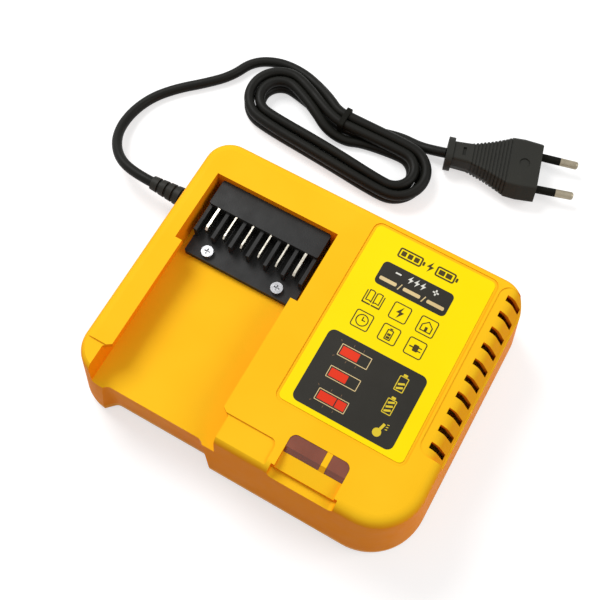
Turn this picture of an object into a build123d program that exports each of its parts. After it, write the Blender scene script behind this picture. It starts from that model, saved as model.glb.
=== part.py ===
from build123d import *

import os
from math import cos, hypot, radians, sin, tan

# Battery charger: a two-shell housing with a slide-in battery dock on its left half, a power
# board inside, and a mains lead that lies behind it as a tied hank and ends in a flat plug.
# Millimetres, +Z up, +X to the display side, -Y to the front. The origin is on the floor,
# under the middle of the housing.

os.makedirs("parts", exist_ok=True)

# ---------------------------------------------------------------- housing sizes
body_width = 166.0            # over the side walls, at the parting line
body_depth = 133.0            # over the front and rear walls, at the parting line
deck_height = 46.8            # floor to deck
parting_height = 6.0          # floor to the joint between the two shells
foot_stand = 1.2              # floor to the underside of the base
wall = 2.4
draft = 6.0                   # degrees, side walls lean inwards towards the deck
deck_edge_radius = 5.0
base_edge_radius = 1.2
front_left_radius = 18.0
front_right_radius = 26.0
rear_radius = 16.0
fit_gap = 0.15                # between pieces that seat in each other
lip_thickness = 1.6           # the base's lip inside the top housing
lip_height = 4.0

left_x = -body_width / 2
right_x = body_width / 2
front_y = -body_depth / 2
rear_y = body_depth / 2
base_floor = foot_stand + wall          # inside face of the base

# finger scoop in the front wall, under the battery's latch
scoop_width = 46.7
scoop_depth = 4.5
scoop_corner = 4.0

# ---------------------------------------------------------------- battery dock
dock_x = -38.0
channel_width = 62.0
channel_rear_inset = 22.5     # from the channel's end to the rear face
channel_depth = 14.8          # deck to channel floor
rail_gap = 55.0
rail_thickness = 3.5
rail_setback = 16.0           # from the front face to the rails' mouth
rail_length = 58.0
rail_lead_in = 2.5
pad_drop = 0.8                # the deck's front left strip is this much lower
pad_depth = 17.0
pad_right = 16.0
pad_corner = 3.0

channel_length = body_depth - channel_rear_inset
channel_floor = deck_height - channel_depth
channel_end = front_y + channel_length
rail_front = front_y + rail_setback
rail_rear = rail_front + rail_length

# ---------------------------------------------------------------- label, vents
label_left = 6.4
label_front_inset = 33.2      # from the front face
label_rear_inset = 9.1        # from the rear face
label_vent_gap = 6.4          # from the label to the vents' inner ends
label_thickness = 0.35
label_corner = 2.5
label_recess_depth = 0.5
label_margin = 1.4

vent_count = 10
vent_pitch = 8.2
vent_width = 2.9
vent_length = 7.4             # a slot in plan, over the shoulder
vent_side_inset = 12.4        # from the vents' inner ends to the right face
vent_rear_inset = 12.8        # from the rear vent to the rear face
vent_panel_depth = 0.4        # the vents' panel below the deck
vent_panel_drop = 10.3        # from the deck to the shelf at the panel's foot
vent_panel_margin = 3.8
vent_panel_corner = 5.0
vent_panel_bend = 6.0         # radius where the panel turns down over the shoulder
vent_panel_foot = 0.6         # radius where it meets the shelf
bend_inset = 9.8              # from the panel's bend to the right face
foot_inset = 3.9              # from the panel's foot to the right face
shelf_fall = 0.5

vent_inner_x = right_x - vent_side_inset
vent_rear_y = rear_y - vent_rear_inset
vent_front_y = vent_rear_y - (vent_count - 1) * vent_pitch
label_front = front_y + label_front_inset
label_width = vent_inner_x - label_vent_gap - label_left
label_depth = rear_y - label_rear_inset - label_front

# ---------------------------------------------------------------- indicator window
lens_left = 19.6
lens_width = 27.4
lens_front_inset = 23.2       # from the lens's rear edge to the front face
lens_top_depth = 6.2          # the lens's flat top, front to back
lens_depth = 8.2              # the lens in all
lens_drop = 0.3               # lens top below the deck
lens_step = 2.6               # ramp's rear edge below the deck
lens_gap = 0.1
lens_rib_width = 2.6
lens_rib_share = 0.64         # where the rib crosses the window
lens_corner = 3.0             # rear corners of the window, in plan
lens_flange = 2.0
lens_flange_thickness = 1.2
ramp_depth = 7.2
ramp_drop = 1.3
slit_drop = 2.0
ledge_margin = 1.5
ledge_fall = 0.8
ledge_corner = 2.6            # lower ends of the ledge's notch

lens_right = lens_left + lens_width
lens_rear_y = front_y + lens_front_inset
lens_front_y = lens_rear_y - lens_depth
ramp_front_y = lens_front_y - ramp_depth
rib_left = lens_left + lens_rib_share * lens_width - lens_rib_width / 2
rib_right = rib_left + lens_rib_width
lens_top = deck_height - lens_drop
ramp_z = deck_height - lens_step
ledge_z = ramp_z - ramp_drop - slit_drop
window_roof = ramp_z - wall             # inside face of the deck around the window
ledge_roof = ledge_z - ledge_fall - wall

# ---------------------------------------------------------------- fasteners and feet
screw_radius = 1.45
pilot_radius = 1.5
clearance_hole_radius = 1.7
screw_head_radius = 2.8
screw_head_height = 2.0
head_well_radius = 3.3
boss_radius = 4.0
boss_top = 12.0               # where a base boss meets a post of the top housing
boss_floor = 4.0              # plastic under the head's seat and the boss top
housing_screw_length = 16.0
housing_pilot_depth = 13.5
front_left_screw_inset = (7.8, 18.5)      # from the side face and the front or rear face
rear_left_screw_inset = (12.0, 11.5)
front_right_screw_inset = (15.0, 20.5)
rear_right_screw_inset = (19.0, 12.5)
housing_screw_places = [
    (left_x + front_left_screw_inset[0], front_y + front_left_screw_inset[1]),
    (left_x + rear_left_screw_inset[0], rear_y - rear_left_screw_inset[1]),
    (right_x - front_right_screw_inset[0], front_y + front_right_screw_inset[1]),
    (right_x - rear_right_screw_inset[0], rear_y - rear_right_screw_inset[1]),
]

foot_radius = 6.0
foot_recess = 1.0
foot_front_inset = (27.0, 12.5)           # from the side face and the front or rear face
foot_rear_inset = (35.0, 11.5)
foot_front_x = right_x - foot_front_inset[0]
foot_front_y = rear_y - foot_front_inset[1]
foot_rear_x = right_x - foot_rear_inset[0]
foot_rear_y = rear_y - foot_rear_inset[1]

# ---------------------------------------------------------------- terminal block
terminal_count = 6
terminal_pitch = 9.0
power_blade_thickness = 1.2
signal_blade_thickness = 0.8
blade_height = 6.0
blade_reach = 12.0            # in front of the tower
blade_lift = 1.5              # above the block's plate
tail_width = 3.0
tail_drop = 3.8               # below the channel's underside
blade_gap = 0.05
block_width = 56.0
block_plate = 3.0
block_length = 36.0
tower_depth = 13.0
tower_height = 11.0
fin_thickness = 1.6
fin_length = 14.0
fin_height = 6.5
block_corner = 1.0
block_boss_radius = 3.2
block_boss_depth = 6.5        # below the channel's underside
block_screw_length = 10.0
block_screw_inset_x = 10.0
block_screw_inset_y = 4.0

block_rear = channel_end - fit_gap
block_front = block_rear - block_length
tower_front = block_rear - tower_depth
block_plate_top = channel_floor + block_plate
tail_y = tower_front + tower_depth / 2
tail_end = channel_floor - wall - tail_drop
block_screw_places = [
    (dock_x + side * (block_width / 2 - block_screw_inset_x), block_front + block_screw_inset_y)
    for side in (-1, 1)
]
blade_offsets = [(i - (terminal_count - 1) / 2) * terminal_pitch for i in range(terminal_count)]

# ---------------------------------------------------------------- indicator lamps
led_post_radius = 2.2
led_post_inset = 2.6
led_board_drop = 6.0          # from the window's inside face to the lamp board's top
led_board_depth = 9.0
led_board_thickness = 1.2
led_screw_radius = 0.9
led_screw_head_radius = 1.7
led_screw_length = 5.0
led_radius = 1.5
led_height = 4.2
led_count = 3
led_pitch = 8.0

led_board_top = window_roof - led_board_drop
led_board_x = lens_left + lens_width / 2
led_post_offset = (lens_width + lens_flange) / 2 + led_post_radius + 2 * fit_gap
led_board_length = 2 * (led_post_offset + led_post_inset)
led_board_y = lens_rear_y - lens_depth / 2
led_post_places = [
    (led_board_x + side * led_post_offset, led_board_y)
    for side in (-1, 1)
]

# ---------------------------------------------------------------- main board
board_left_inset = 29.0
board_front_inset = 25.0
board_rear_inset = 19.5
board_left = left_x + board_left_inset
board_right = 62.0
board_front = front_y + board_front_inset
board_rear = rear_y - board_rear_inset
board_thickness = 1.6
standoff_height = 5.6
standoff_radius = 3.5
board_screw_inset = 4.0
board_screw_length = 7.0
board_underside = base_floor + standoff_height
board_top = board_underside + board_thickness

# ---------------------------------------------------------------- mains lead
cord_diameter = 5.2
cord_radius = cord_diameter / 2
exit_inset = 28.5             # from the lead to the rear face
exit_y = rear_y - exit_inset
exit_z = 14.0
relief_length = 22.0
relief_tip_radius = 3.5
relief_root_radius = 5.2
relief_neck_radius = 4.8
relief_flange_radius = 6.4
relief_flange = 2.0
exit_lean = (exit_z - parting_height) * tan(radians(draft))     # wall's lean at the lead


def plan_edge(inset):
    """Closed plan outline of the housing, moved inwards by inset."""
    half_x = body_width / 2 - inset
    half_y = body_depth / 2 - inset
    corners = [(-half_x, -half_y), (half_x, -half_y), (half_x, half_y), (-half_x, half_y)]
    radii = [front_left_radius, front_right_radius, rear_radius, rear_radius]
    return FilletPolyline(*corners, radius=[radius - inset for radius in radii], close=True)


def scoop_edge(grow):
    """Closed plan outline of the finger scoop, grown by a wall; it runs out past the front."""
    past = 2.0
    half = scoop_width / 2 + grow * tan(radians(22.5))
    back = front_y + scoop_depth + grow
    reach = scoop_depth + grow + past
    corners = [
        (dock_x - half - reach, front_y - past),
        (dock_x + half + reach, front_y - past),
        (dock_x + half, back),
        (dock_x - half, back),
    ]
    corner = scoop_corner + grow
    return FilletPolyline(*corners, radius=[0.5, 0.5, corner, corner], close=True)


def scooped_plan(inset):
    """Plan face of the housing below the dock, moved inwards by inset."""
    with BuildSketch() as plan:
        with BuildLine():
            plan_edge(inset)
        make_face()
        with BuildLine():
            scoop_edge(inset)
        make_face(mode=Mode.SUBTRACT)
    return plan.sketch


def housing_form(inset):
    """The housing's outer form above the parting line, moved inwards by inset."""
    with BuildPart() as form:
        with BuildSketch(Plane.XY.offset(parting_height)):
            with BuildLine():
                plan_edge(inset)
            make_face()
        extrude(amount=deck_height - inset - parting_height, taper=draft)
        fillet(form.edges().group_by(Axis.Z)[-1], radius=deck_edge_radius - inset)
    return form.part


def above_panel(inset, front, rear):
    """What lies above the vents' panel over the right shoulder, moved inwards by inset."""
    bend_x = right_x - bend_inset
    foot_x = right_x - foot_inset
    bend_z = deck_height - vent_panel_depth
    shelf_z = deck_height - vent_panel_drop
    aside = inset * (foot_x - bend_x) / ((bend_z - shelf_z) + hypot(foot_x - bend_x, bend_z - shelf_z))
    over = deck_height + 5.0
    with BuildPart() as form:
        with BuildSketch(Plane.XZ.offset(-rear)):
            with BuildLine():
                FilletPolyline(
                    (vent_inner_x - 3 * vent_panel_margin, over),
                    (vent_inner_x - 3 * vent_panel_margin, bend_z - inset),
                    (bend_x - aside, bend_z - inset),
                    (foot_x - aside, shelf_z - inset),
                    (right_x + 8.0, shelf_z - inset - shelf_fall),
                    (right_x + 8.0, over),
                    radius=[0.5, 0.5, vent_panel_bend - inset, vent_panel_foot, 0.5, 0.5],
                    close=True,
                )
            make_face()
        extrude(amount=rear - front)
    return form.part


def window_form(inset):
    """Plan form of the indicator window, rounded at its rear, moved inwards by inset."""
    with BuildPart() as form:
        with BuildSketch():
            with BuildLine():
                FilletPolyline(
                    (lens_left + inset, front_y),
                    (lens_right - inset, front_y),
                    (lens_right - inset, lens_rear_y - inset),
                    (lens_left + inset, lens_rear_y - inset),
                    radius=[0.5, 0.5, lens_corner - inset, lens_corner - inset],
                    close=True,
                )
            make_face()
        extrude(amount=2 * deck_height)
    return form.part


def block(low, high, mode=Mode.ADD):
    """Plain box between two corners, for use inside a part."""
    size = [high[i] - low[i] for i in range(3)]
    middle = [(high[i] + low[i]) / 2 for i in range(3)]
    with Locations(tuple(middle)):
        Box(*size, mode=mode)


def write(part, name):
    """Label a finished piece and write it."""
    part.label = name
    export_step(part, f"parts/{name}.step")


# ---------------------------------------------------------------- top housing
skin = housing_form(0)
inner_form = housing_form(wall)

half_channel = channel_width / 2
half_gap = rail_gap / 2
rail_underside = deck_height - rail_thickness
beyond = 5.0                  # how far a cutter runs past what it cuts

# what the vents' panel takes off the deck and the shoulder
with BuildPart() as vent_panel_cutter:
    low_y = vent_front_y - vent_width / 2 - vent_panel_margin
    high_y = vent_rear_y + vent_width / 2 + vent_panel_margin
    add(above_panel(0, low_y - beyond, high_y + beyond))
    with BuildSketch():
        with BuildLine():
            FilletPolyline(
                (vent_inner_x - vent_panel_margin, low_y),
                (right_x + beyond, low_y),
                (right_x + beyond, high_y),
                (vent_inner_x - vent_panel_margin, high_y),
                radius=[vent_panel_corner, 0.5, 0.5, vent_panel_corner],
                close=True,
            )
        make_face()
    extrude(amount=2 * deck_height, mode=Mode.INTERSECT)

# the window's stepped recess and its opening
with BuildPart() as window_cutter:
    with BuildSketch(Plane.YZ.offset(lens_left)):
        with BuildLine():
            Polyline(
                (lens_rear_y, deck_height + beyond),
                (lens_rear_y, window_roof - beyond / 2),
                (lens_front_y, window_roof - beyond / 2),
                (lens_front_y, ramp_z),
                (ramp_front_y, ramp_z - ramp_drop),
                (ramp_front_y, deck_height + beyond),
                close=True,
            )
        make_face()
    extrude(amount=lens_width)
    add(window_form(0), mode=Mode.INTERSECT)

# the notch in front of it, down to the ledge
with BuildPart() as ledge_cutter:
    with BuildSketch(Plane.YZ.offset(lens_left - ledge_margin)):
        with BuildLine():
            Polyline(
                (ramp_front_y, deck_height + beyond),
                (ramp_front_y, ledge_z),
                (front_y - beyond, ledge_z - ledge_fall),
                (front_y - beyond, deck_height + beyond),
                close=True,
            )
        make_face()
    extrude(amount=lens_width + 2 * ledge_margin)
    ends = ledge_cutter.edges().filter_by(Axis.X, reverse=True).group_by(Axis.Z)[0]
    fillet(ends, radius=ledge_corner)

# hollow of the top housing: the inner form less the walls around the dock, scoop and window,
# and less the posts that hang from the deck
with BuildPart() as hollow:
    add(inner_form)
    with BuildSketch(Plane.XY.offset(channel_floor - wall)):
        with Locations((dock_x, (front_y + channel_end + wall) / 2)):
            Rectangle(channel_width + 2 * wall, channel_length + wall)
    extrude(amount=deck_height, mode=Mode.SUBTRACT)
    with BuildSketch(Plane.XY.offset(parting_height)):
        with BuildLine():
            scoop_edge(wall)
        make_face()
    extrude(amount=deck_height, mode=Mode.SUBTRACT)
    with BuildSketch(Plane.XY.offset(window_roof)):
        with Locations((lens_left + lens_width / 2, (front_y + lens_rear_y) / 2 + lens_flange)):
            Rectangle(lens_width + 4 * lens_flange, lens_rear_y - front_y + 2 * lens_flange)
    extrude(amount=deck_height, mode=Mode.SUBTRACT)
    with BuildSketch(Plane.XY.offset(ledge_roof)):
        with Locations((lens_left + lens_width / 2, (front_y + lens_front_y) / 2)):
            Rectangle(lens_width + 2 * ledge_margin + 2 * wall, lens_front_y - front_y)
    extrude(amount=deck_height, mode=Mode.SUBTRACT)
    add(
        above_panel(
            wall,
            vent_front_y - vent_width / 2 - vent_panel_margin - wall,
            vent_rear_y + vent_width / 2 + vent_panel_margin + wall,
        ),
        mode=Mode.SUBTRACT,
    )
    for x, y in housing_screw_places:
        with BuildSketch(Plane.XY.offset(boss_top)):
            with Locations((x, y)):
                Circle(boss_radius)
        extrude(amount=deck_height, mode=Mode.SUBTRACT)
    for x, y in block_screw_places:
        with BuildSketch(Plane.XY.offset(channel_floor - wall - block_boss_depth)):
            with Locations((x, y)):
                Circle(block_boss_radius)
        extrude(amount=deck_height, mode=Mode.SUBTRACT)
    for x, y in led_post_places:
        with BuildSketch(Plane.XY.offset(led_board_top)):
            with Locations((x, y)):
                Circle(led_post_radius)
        extrude(amount=deck_height, mode=Mode.SUBTRACT)

with BuildPart() as top_housing:
    add(skin)
    add(hollow.part, mode=Mode.SUBTRACT)
    # dock channel with its two overhanging rails
    with BuildSketch(Plane.XY.offset(channel_floor)):
        with Locations((dock_x, (front_y - beyond + channel_end) / 2)):
            Rectangle(channel_width, channel_length + beyond)
    extrude(amount=deck_height, mode=Mode.SUBTRACT)
    for side in (-1, 1):
        wall_x = dock_x + side * half_channel
        lip_x = dock_x + side * half_gap
        with BuildSketch(Plane.XY.offset(rail_underside)):
            with BuildLine():
                Polyline(
                    (wall_x + side * wall / 2, rail_front),
                    (wall_x, rail_front),
                    (lip_x, rail_front + rail_lead_in),
                    (lip_x, rail_rear),
                    (wall_x + side * wall / 2, rail_rear),
                    close=True,
                )
            make_face()
        extrude(amount=rail_thickness)
    # finger scoop
    with BuildSketch(Plane.XY.offset(parting_height - beyond)):
        with BuildLine():
            scoop_edge(0)
        make_face()
    extrude(amount=deck_height, mode=Mode.SUBTRACT)
    # lowered strip at the front left of the deck
    with BuildSketch(Plane.XY.offset(deck_height - pad_drop)):
        with BuildLine():
            FilletPolyline(
                (left_x - beyond, front_y - beyond),
                (pad_right, front_y - beyond),
                (pad_right, front_y + pad_depth),
                (left_x - beyond, front_y + pad_depth),
                radius=[0.5, 0.5, pad_corner, 0.5],
                close=True,
            )
        make_face()
    extrude(amount=beyond, mode=Mode.SUBTRACT)
    # recess for the label
    with BuildSketch(Plane.XY.offset(deck_height - label_recess_depth)):
        with Locations((label_left + label_width / 2, label_front + label_depth / 2)):
            RectangleRounded(
                label_width + 2 * label_margin,
                label_depth + 2 * label_margin,
                label_corner + label_margin,
            )
    extrude(amount=beyond, mode=Mode.SUBTRACT)
    # indicator window and ledge, and the rib across the window that follows the lens's slope
    add(window_cutter.part, mode=Mode.SUBTRACT)
    add(ledge_cutter.part, mode=Mode.SUBTRACT)
    with BuildSketch(Plane.YZ.offset(rib_left)):
        with BuildLine():
            Polyline(
                (lens_rear_y, window_roof),
                (lens_rear_y, lens_top + lens_gap),
                (lens_rear_y - lens_top_depth, lens_top + lens_gap),
                (lens_front_y, ramp_z + lens_gap),
                (lens_front_y, window_roof),
                close=True,
            )
        make_face()
    extrude(amount=lens_rib_width)
    # the vents' panel, and its slots over the shoulder
    add(vent_panel_cutter.part, mode=Mode.SUBTRACT)
    for i in range(vent_count):
        with BuildSketch(Plane.XY.offset(deck_height - 1.35 * vent_panel_drop)):
            with Locations((vent_inner_x + vent_length / 2, vent_rear_y - i * vent_pitch)):
                Rectangle(vent_length, vent_width)
        extrude(amount=deck_height, mode=Mode.SUBTRACT)
    # seat of the cord's strain relief, open downwards to the parting line
    with BuildSketch(Plane.YZ.offset(left_x - beyond)):
        with Locations((exit_y, exit_z)):
            Circle(relief_neck_radius + fit_gap)
        with Locations((exit_y, (exit_z + parting_height - beyond) / 2)):
            Rectangle(2 * (relief_neck_radius + fit_gap), exit_z - parting_height + beyond)
    extrude(amount=beyond + 2 * wall, mode=Mode.SUBTRACT)
    # pilot holes, and the slot that the terminals' tails pass through
    for x, y in housing_screw_places:
        with Locations((x, y, boss_top + housing_pilot_depth)):
            Hole(pilot_radius, depth=housing_pilot_depth)
    for x, y in block_screw_places:
        with Locations((x, y, channel_floor)):
            Hole(pilot_radius, depth=block_screw_length)
    for x, y in led_post_places:
        with Locations((x, y, led_board_top + led_screw_length)):
            Hole(led_screw_radius + blade_gap, depth=led_screw_length)
    tail_slot = tail_width / 2 + 4 * fit_gap
    tail_span = blade_offsets[-1] + power_blade_thickness
    block(
        (dock_x - tail_span, tail_y - tail_slot, channel_floor - 2 * wall),
        (dock_x + tail_span, tail_y + tail_slot, channel_floor + wall),
        mode=Mode.SUBTRACT,
    )
write(top_housing.part, "top_housing")

# ---------------------------------------------------------------- base housing
vent_slot_width = 2.4
vent_slot_length = 24.0
base_vent_count = 8
base_vent_pitch = 6.0
base_vent_x = 22.0
base_vent_y = 12.0
keyhole_spacing = 96.0
keyhole_y = -20.0
keyhole_entry_radius = 4.5
keyhole_slot_radius = 2.2
keyhole_rise = 8.0
plate_width = 60.0            # blank rating plate under the base
plate_depth = 34.0
plate_thickness = 0.3
plate_recess = 0.4
plate_corner = 2.0
plate_x = -8.0
plate_y = -26.0
clamp_inset = 16.0
clamp_x = left_x + clamp_inset
clamp_post_radius = 3.0
clamp_post_offset = 7.5
clamp_height = 4.5
clamp_length = 8.0
clamp_screw_length = 12.0
clamp_pilot_depth = 9.0
clamp_rest = exit_z - cord_radius      # top of the rib that the cord lies on
clamp_post_top = exit_z + 0.6
clamp_places = [(clamp_x, exit_y + side * clamp_post_offset) for side in (-1, 1)]

seat_z = boss_top - boss_floor         # underside of a housing screw's head
foot_places = [
    (-foot_front_x, -foot_front_y),
    (foot_front_x, -foot_front_y),
    (-foot_rear_x, foot_rear_y),
    (foot_rear_x, foot_rear_y),
]
board_screw_places = [
    (x, y)
    for x in (board_left + board_screw_inset, board_right - board_screw_inset)
    for y in (board_front + board_screw_inset, board_rear - board_screw_inset)
]
lip_inset = wall + fit_gap

with BuildPart() as base_housing:
    with BuildSketch(Plane.XY.offset(foot_stand)):
        add(scooped_plan(0))
    extrude(amount=parting_height - foot_stand)
    fillet(base_housing.edges().group_by(Axis.Z)[0], radius=base_edge_radius)
    with BuildSketch(Plane.XY.offset(base_floor)):
        add(scooped_plan(lip_inset))
    extrude(amount=parting_height + lip_height - base_floor, taper=draft)
    with BuildSketch(Plane.XY.offset(base_floor)):
        add(scooped_plan(lip_inset + lip_thickness))
    extrude(amount=deck_height, mode=Mode.SUBTRACT)
    # the lip makes room for the strain relief, and a tongue closes its slot from below
    with BuildSketch(Plane.YZ.offset(left_x + lip_inset)):
        with Locations((exit_y, exit_z)):
            Circle(relief_flange_radius + fit_gap)
    extrude(amount=2 * wall, mode=Mode.SUBTRACT)
    block(
        (left_x + 2 * fit_gap + exit_lean, exit_y - relief_neck_radius, base_floor),
        (left_x + wall, exit_y + relief_neck_radius, exit_z),
    )
    with BuildSketch(Plane.YZ.offset(left_x - beyond)):
        with Locations((exit_y, exit_z)):
            Circle(relief_neck_radius + fit_gap)
    extrude(amount=beyond + wall, mode=Mode.SUBTRACT)
    # bosses, standoffs and the cord clamp's seat
    for x, y in housing_screw_places:
        with BuildSketch(Plane.XY.offset(foot_stand)):
            with Locations((x, y)):
                Circle(boss_radius)
        extrude(amount=boss_top - foot_stand)
    for x, y in board_screw_places:
        with BuildSketch(Plane.XY.offset(base_floor)):
            with Locations((x, y)):
                Circle(standoff_radius)
        extrude(amount=standoff_height)
    for x, y in clamp_places:
        with BuildSketch(Plane.XY.offset(base_floor)):
            with Locations((x, y)):
                Circle(clamp_post_radius)
        extrude(amount=clamp_post_top - base_floor)
    block(
        (clamp_x - clamp_length / 4, exit_y - clamp_post_offset, base_floor),
        (clamp_x + clamp_length / 4, exit_y + clamp_post_offset, clamp_rest),
    )
    # wells and holes of the screws
    for x, y in housing_screw_places:
        with Locations((x, y, boss_top)):
            Hole(clearance_hole_radius, depth=boss_top)
        with Locations((x, y, seat_z)):
            Hole(head_well_radius, depth=seat_z)
    for x, y in board_screw_places:
        with Locations((x, y, board_underside)):
            Hole(pilot_radius, depth=standoff_height)
    for x, y in clamp_places:
        with Locations((x, y, clamp_post_top)):
            Hole(pilot_radius, depth=clamp_pilot_depth)
    # seats of the feet and of the blank plate
    for x, y in foot_places:
        with Locations((x, y, foot_stand + foot_recess)):
            Hole(foot_radius + fit_gap, depth=foot_stand + foot_recess)
    with BuildSketch(Plane.XY.offset(foot_stand)):
        with Locations((plate_x, plate_y)):
            RectangleRounded(plate_width + 2 * fit_gap, plate_depth + 2 * fit_gap, plate_corner)
    extrude(amount=plate_recess, mode=Mode.SUBTRACT)
    # air slots, and keyholes for hanging the charger on two screws
    for i in range(base_vent_count):
        x = base_vent_x + (i - (base_vent_count - 1) / 2) * base_vent_pitch
        with BuildSketch(Plane.XY):
            with Locations((x, base_vent_y)):
                SlotOverall(vent_slot_length, vent_slot_width, rotation=90)
        extrude(amount=base_floor, mode=Mode.SUBTRACT)
    for side in (-1, 1):
        with BuildSketch(Plane.XY):
            with Locations((side * keyhole_spacing / 2, keyhole_y)):
                Circle(keyhole_entry_radius)
            with Locations((side * keyhole_spacing / 2, keyhole_y + keyhole_rise / 2)):
                SlotCenterToCenter(keyhole_rise, 2 * keyhole_slot_radius, rotation=90)
        extrude(amount=base_floor, mode=Mode.SUBTRACT)
write(base_housing.part, "base_housing")

# ---------------------------------------------------------------- label, plate and feet
with BuildPart() as label_plate:
    with BuildSketch(Plane.XY.offset(deck_height - label_recess_depth)):
        with Locations((label_left + label_width / 2, label_front + label_depth / 2)):
            RectangleRounded(label_width, label_depth, label_corner)
    extrude(amount=label_thickness)
    add(skin, mode=Mode.INTERSECT)
write(label_plate.part, "label_plate")

with BuildPart() as rating_plate:
    with BuildSketch(Plane.XY.offset(foot_stand + plate_recess)):
        with Locations((plate_x, plate_y)):
            RectangleRounded(plate_width, plate_depth, plate_corner)
    extrude(amount=-plate_thickness)
write(rating_plate.part, "blank_rating_plate")

with BuildPart() as rubber_feet:
    with BuildSketch(Plane.XY):
        with Locations(*foot_places):
            Circle(foot_radius)
    extrude(amount=foot_stand + foot_recess)
    chamfer(rubber_feet.edges().group_by(Axis.Z)[0], length=foot_stand / 3)
write(rubber_feet.part, "rubber_feet")


def screw_group(places, seat, length, radius, head_radius, head_height, head_up):
    """Pan-head screws as separate solids; seat is the height of each head's underside."""
    up = 1 if head_up else -1
    with BuildPart() as screws:
        for x, y in places:
            with BuildSketch(Plane.XY.offset(seat)):
                with Locations((x, y)):
                    Circle(radius)
            extrude(amount=-up * length)
            with BuildSketch(Plane.XY.offset(seat)):
                with Locations((x, y)):
                    Circle(head_radius)
            extrude(amount=up * head_height)
            with BuildSketch(Plane.XY.offset(seat + up * head_height)):
                with Locations((x, y)):
                    Rectangle(head_radius, head_radius / 4)
                    Rectangle(head_radius / 4, head_radius)
            extrude(amount=-up * head_height / 2, mode=Mode.SUBTRACT)
    return screws.part


write(
    screw_group(
        housing_screw_places,
        seat_z,
        housing_screw_length,
        screw_radius,
        screw_head_radius,
        screw_head_height,
        head_up=False,
    ),
    "housing_screws",
)

# ---------------------------------------------------------------- terminal block and blades
with BuildPart() as terminal_block:
    with BuildSketch(Plane.XY.offset(channel_floor)):
        with Locations((dock_x, (block_front + block_rear) / 2)):
            RectangleRounded(block_width, block_length, block_corner)
    extrude(amount=block_plate)
    with BuildSketch(Plane.XY.offset(block_plate_top)):
        with Locations((dock_x, (tower_front + block_rear) / 2)):
            RectangleRounded(block_width, tower_depth, block_corner)
    extrude(amount=tower_height - block_plate)
    # fins that keep the blades apart
    for i in range(terminal_count + 1):
        x = dock_x + (i - terminal_count / 2) * terminal_pitch
        block(
            (x - fin_thickness / 2, tower_front - fin_length, block_plate_top),
            (x + fin_thickness / 2, tower_front + block_corner, block_plate_top + fin_height),
        )
    # slots for the blades and their tails
    for i, offset_x in enumerate(blade_offsets):
        outer = i in (0, terminal_count - 1)
        half = (power_blade_thickness if outer else signal_blade_thickness) / 2 + blade_gap
        x = dock_x + offset_x
        low_z = block_plate_top + blade_lift - blade_gap
        block(
            (x - half, tower_front - beyond, low_z),
            (x + half, tail_y + tail_width / 2 + blade_gap, low_z + blade_height + 2 * blade_gap),
            mode=Mode.SUBTRACT,
        )
        block(
            (x - half, tail_y - tail_width / 2 - blade_gap, channel_floor - beyond),
            (x + half, tail_y + tail_width / 2 + blade_gap, low_z + blade_height),
            mode=Mode.SUBTRACT,
        )
    for x, y in block_screw_places:
        with Locations((x, y, block_plate_top)):
            Hole(clearance_hole_radius, depth=block_plate)
write(terminal_block.part, "terminal_block")


def blade(offset_x, thickness):
    """One contact blade with its tail."""
    low_z = block_plate_top + blade_lift
    tip = blade_height / 5
    with BuildPart() as contact:
        with BuildSketch(Plane.YZ.offset(dock_x + offset_x - thickness / 2)):
            with BuildLine():
                Polyline(
                    (tower_front - blade_reach + tip, low_z),
                    (tail_y - tail_width / 2, low_z),
                    (tail_y - tail_width / 2, tail_end),
                    (tail_y + tail_width / 2, tail_end),
                    (tail_y + tail_width / 2, low_z + blade_height),
                    (tower_front - blade_reach + tip, low_z + blade_height),
                    (tower_front - blade_reach, low_z + blade_height - tip),
                    (tower_front - blade_reach, low_z + tip),
                    close=True,
                )
            make_face()
        extrude(amount=thickness)
    return contact.part


power_blades = [blade(x, power_blade_thickness) for x in (blade_offsets[0], blade_offsets[-1])]
with BuildPart() as power_terminals:
    add(power_blades)
write(power_terminals.part, "power_terminals")

signal_blades = [blade(x, signal_blade_thickness) for x in blade_offsets[1:-1]]
with BuildPart() as signal_terminals:
    add(signal_blades)
write(signal_terminals.part, "signal_terminals")

write(
    screw_group(
        block_screw_places,
        block_plate_top,
        block_screw_length,
        screw_radius,
        screw_head_radius,
        screw_head_height,
        head_up=True,
    ),
    "terminal_block_screws",
)

# ---------------------------------------------------------------- indicator lens and lamps
with BuildPart() as indicator_lens:
    with BuildSketch(Plane.YZ.offset(lens_left + lens_gap)):
        with BuildLine():
            Polyline(
                (lens_rear_y - lens_gap, window_roof),
                (lens_rear_y - lens_gap, lens_top),
                (lens_rear_y - lens_top_depth, lens_top),
                (lens_front_y + lens_gap, ramp_z),
                (lens_front_y + lens_gap, window_roof),
                close=True,
            )
        make_face()
    extrude(amount=lens_width - 2 * lens_gap)
    add(window_form(lens_gap), mode=Mode.INTERSECT)
    block(
        (rib_left - lens_gap, lens_front_y - beyond, window_roof - beyond),
        (rib_right + lens_gap, lens_rear_y + beyond, deck_height),
        mode=Mode.SUBTRACT,
    )
    with BuildSketch(Plane.XY.offset(window_roof)):
        with Locations((lens_left + lens_width / 2, lens_rear_y + (lens_flange - lens_depth) / 2)):
            RectangleRounded(lens_width + lens_flange, lens_depth + lens_flange, lens_flange / 2)
    extrude(amount=-lens_flange_thickness)
write(indicator_lens.part, "indicator_lens")

with BuildPart() as indicator_board:
    with BuildSketch(Plane.XY.offset(led_board_top)):
        with Locations((led_board_x, led_board_y)):
            Rectangle(led_board_length, led_board_depth)
        with Locations(*led_post_places):
            Circle(led_screw_radius + blade_gap, mode=Mode.SUBTRACT)
    extrude(amount=-led_board_thickness)
write(indicator_board.part, "indicator_board")

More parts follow.
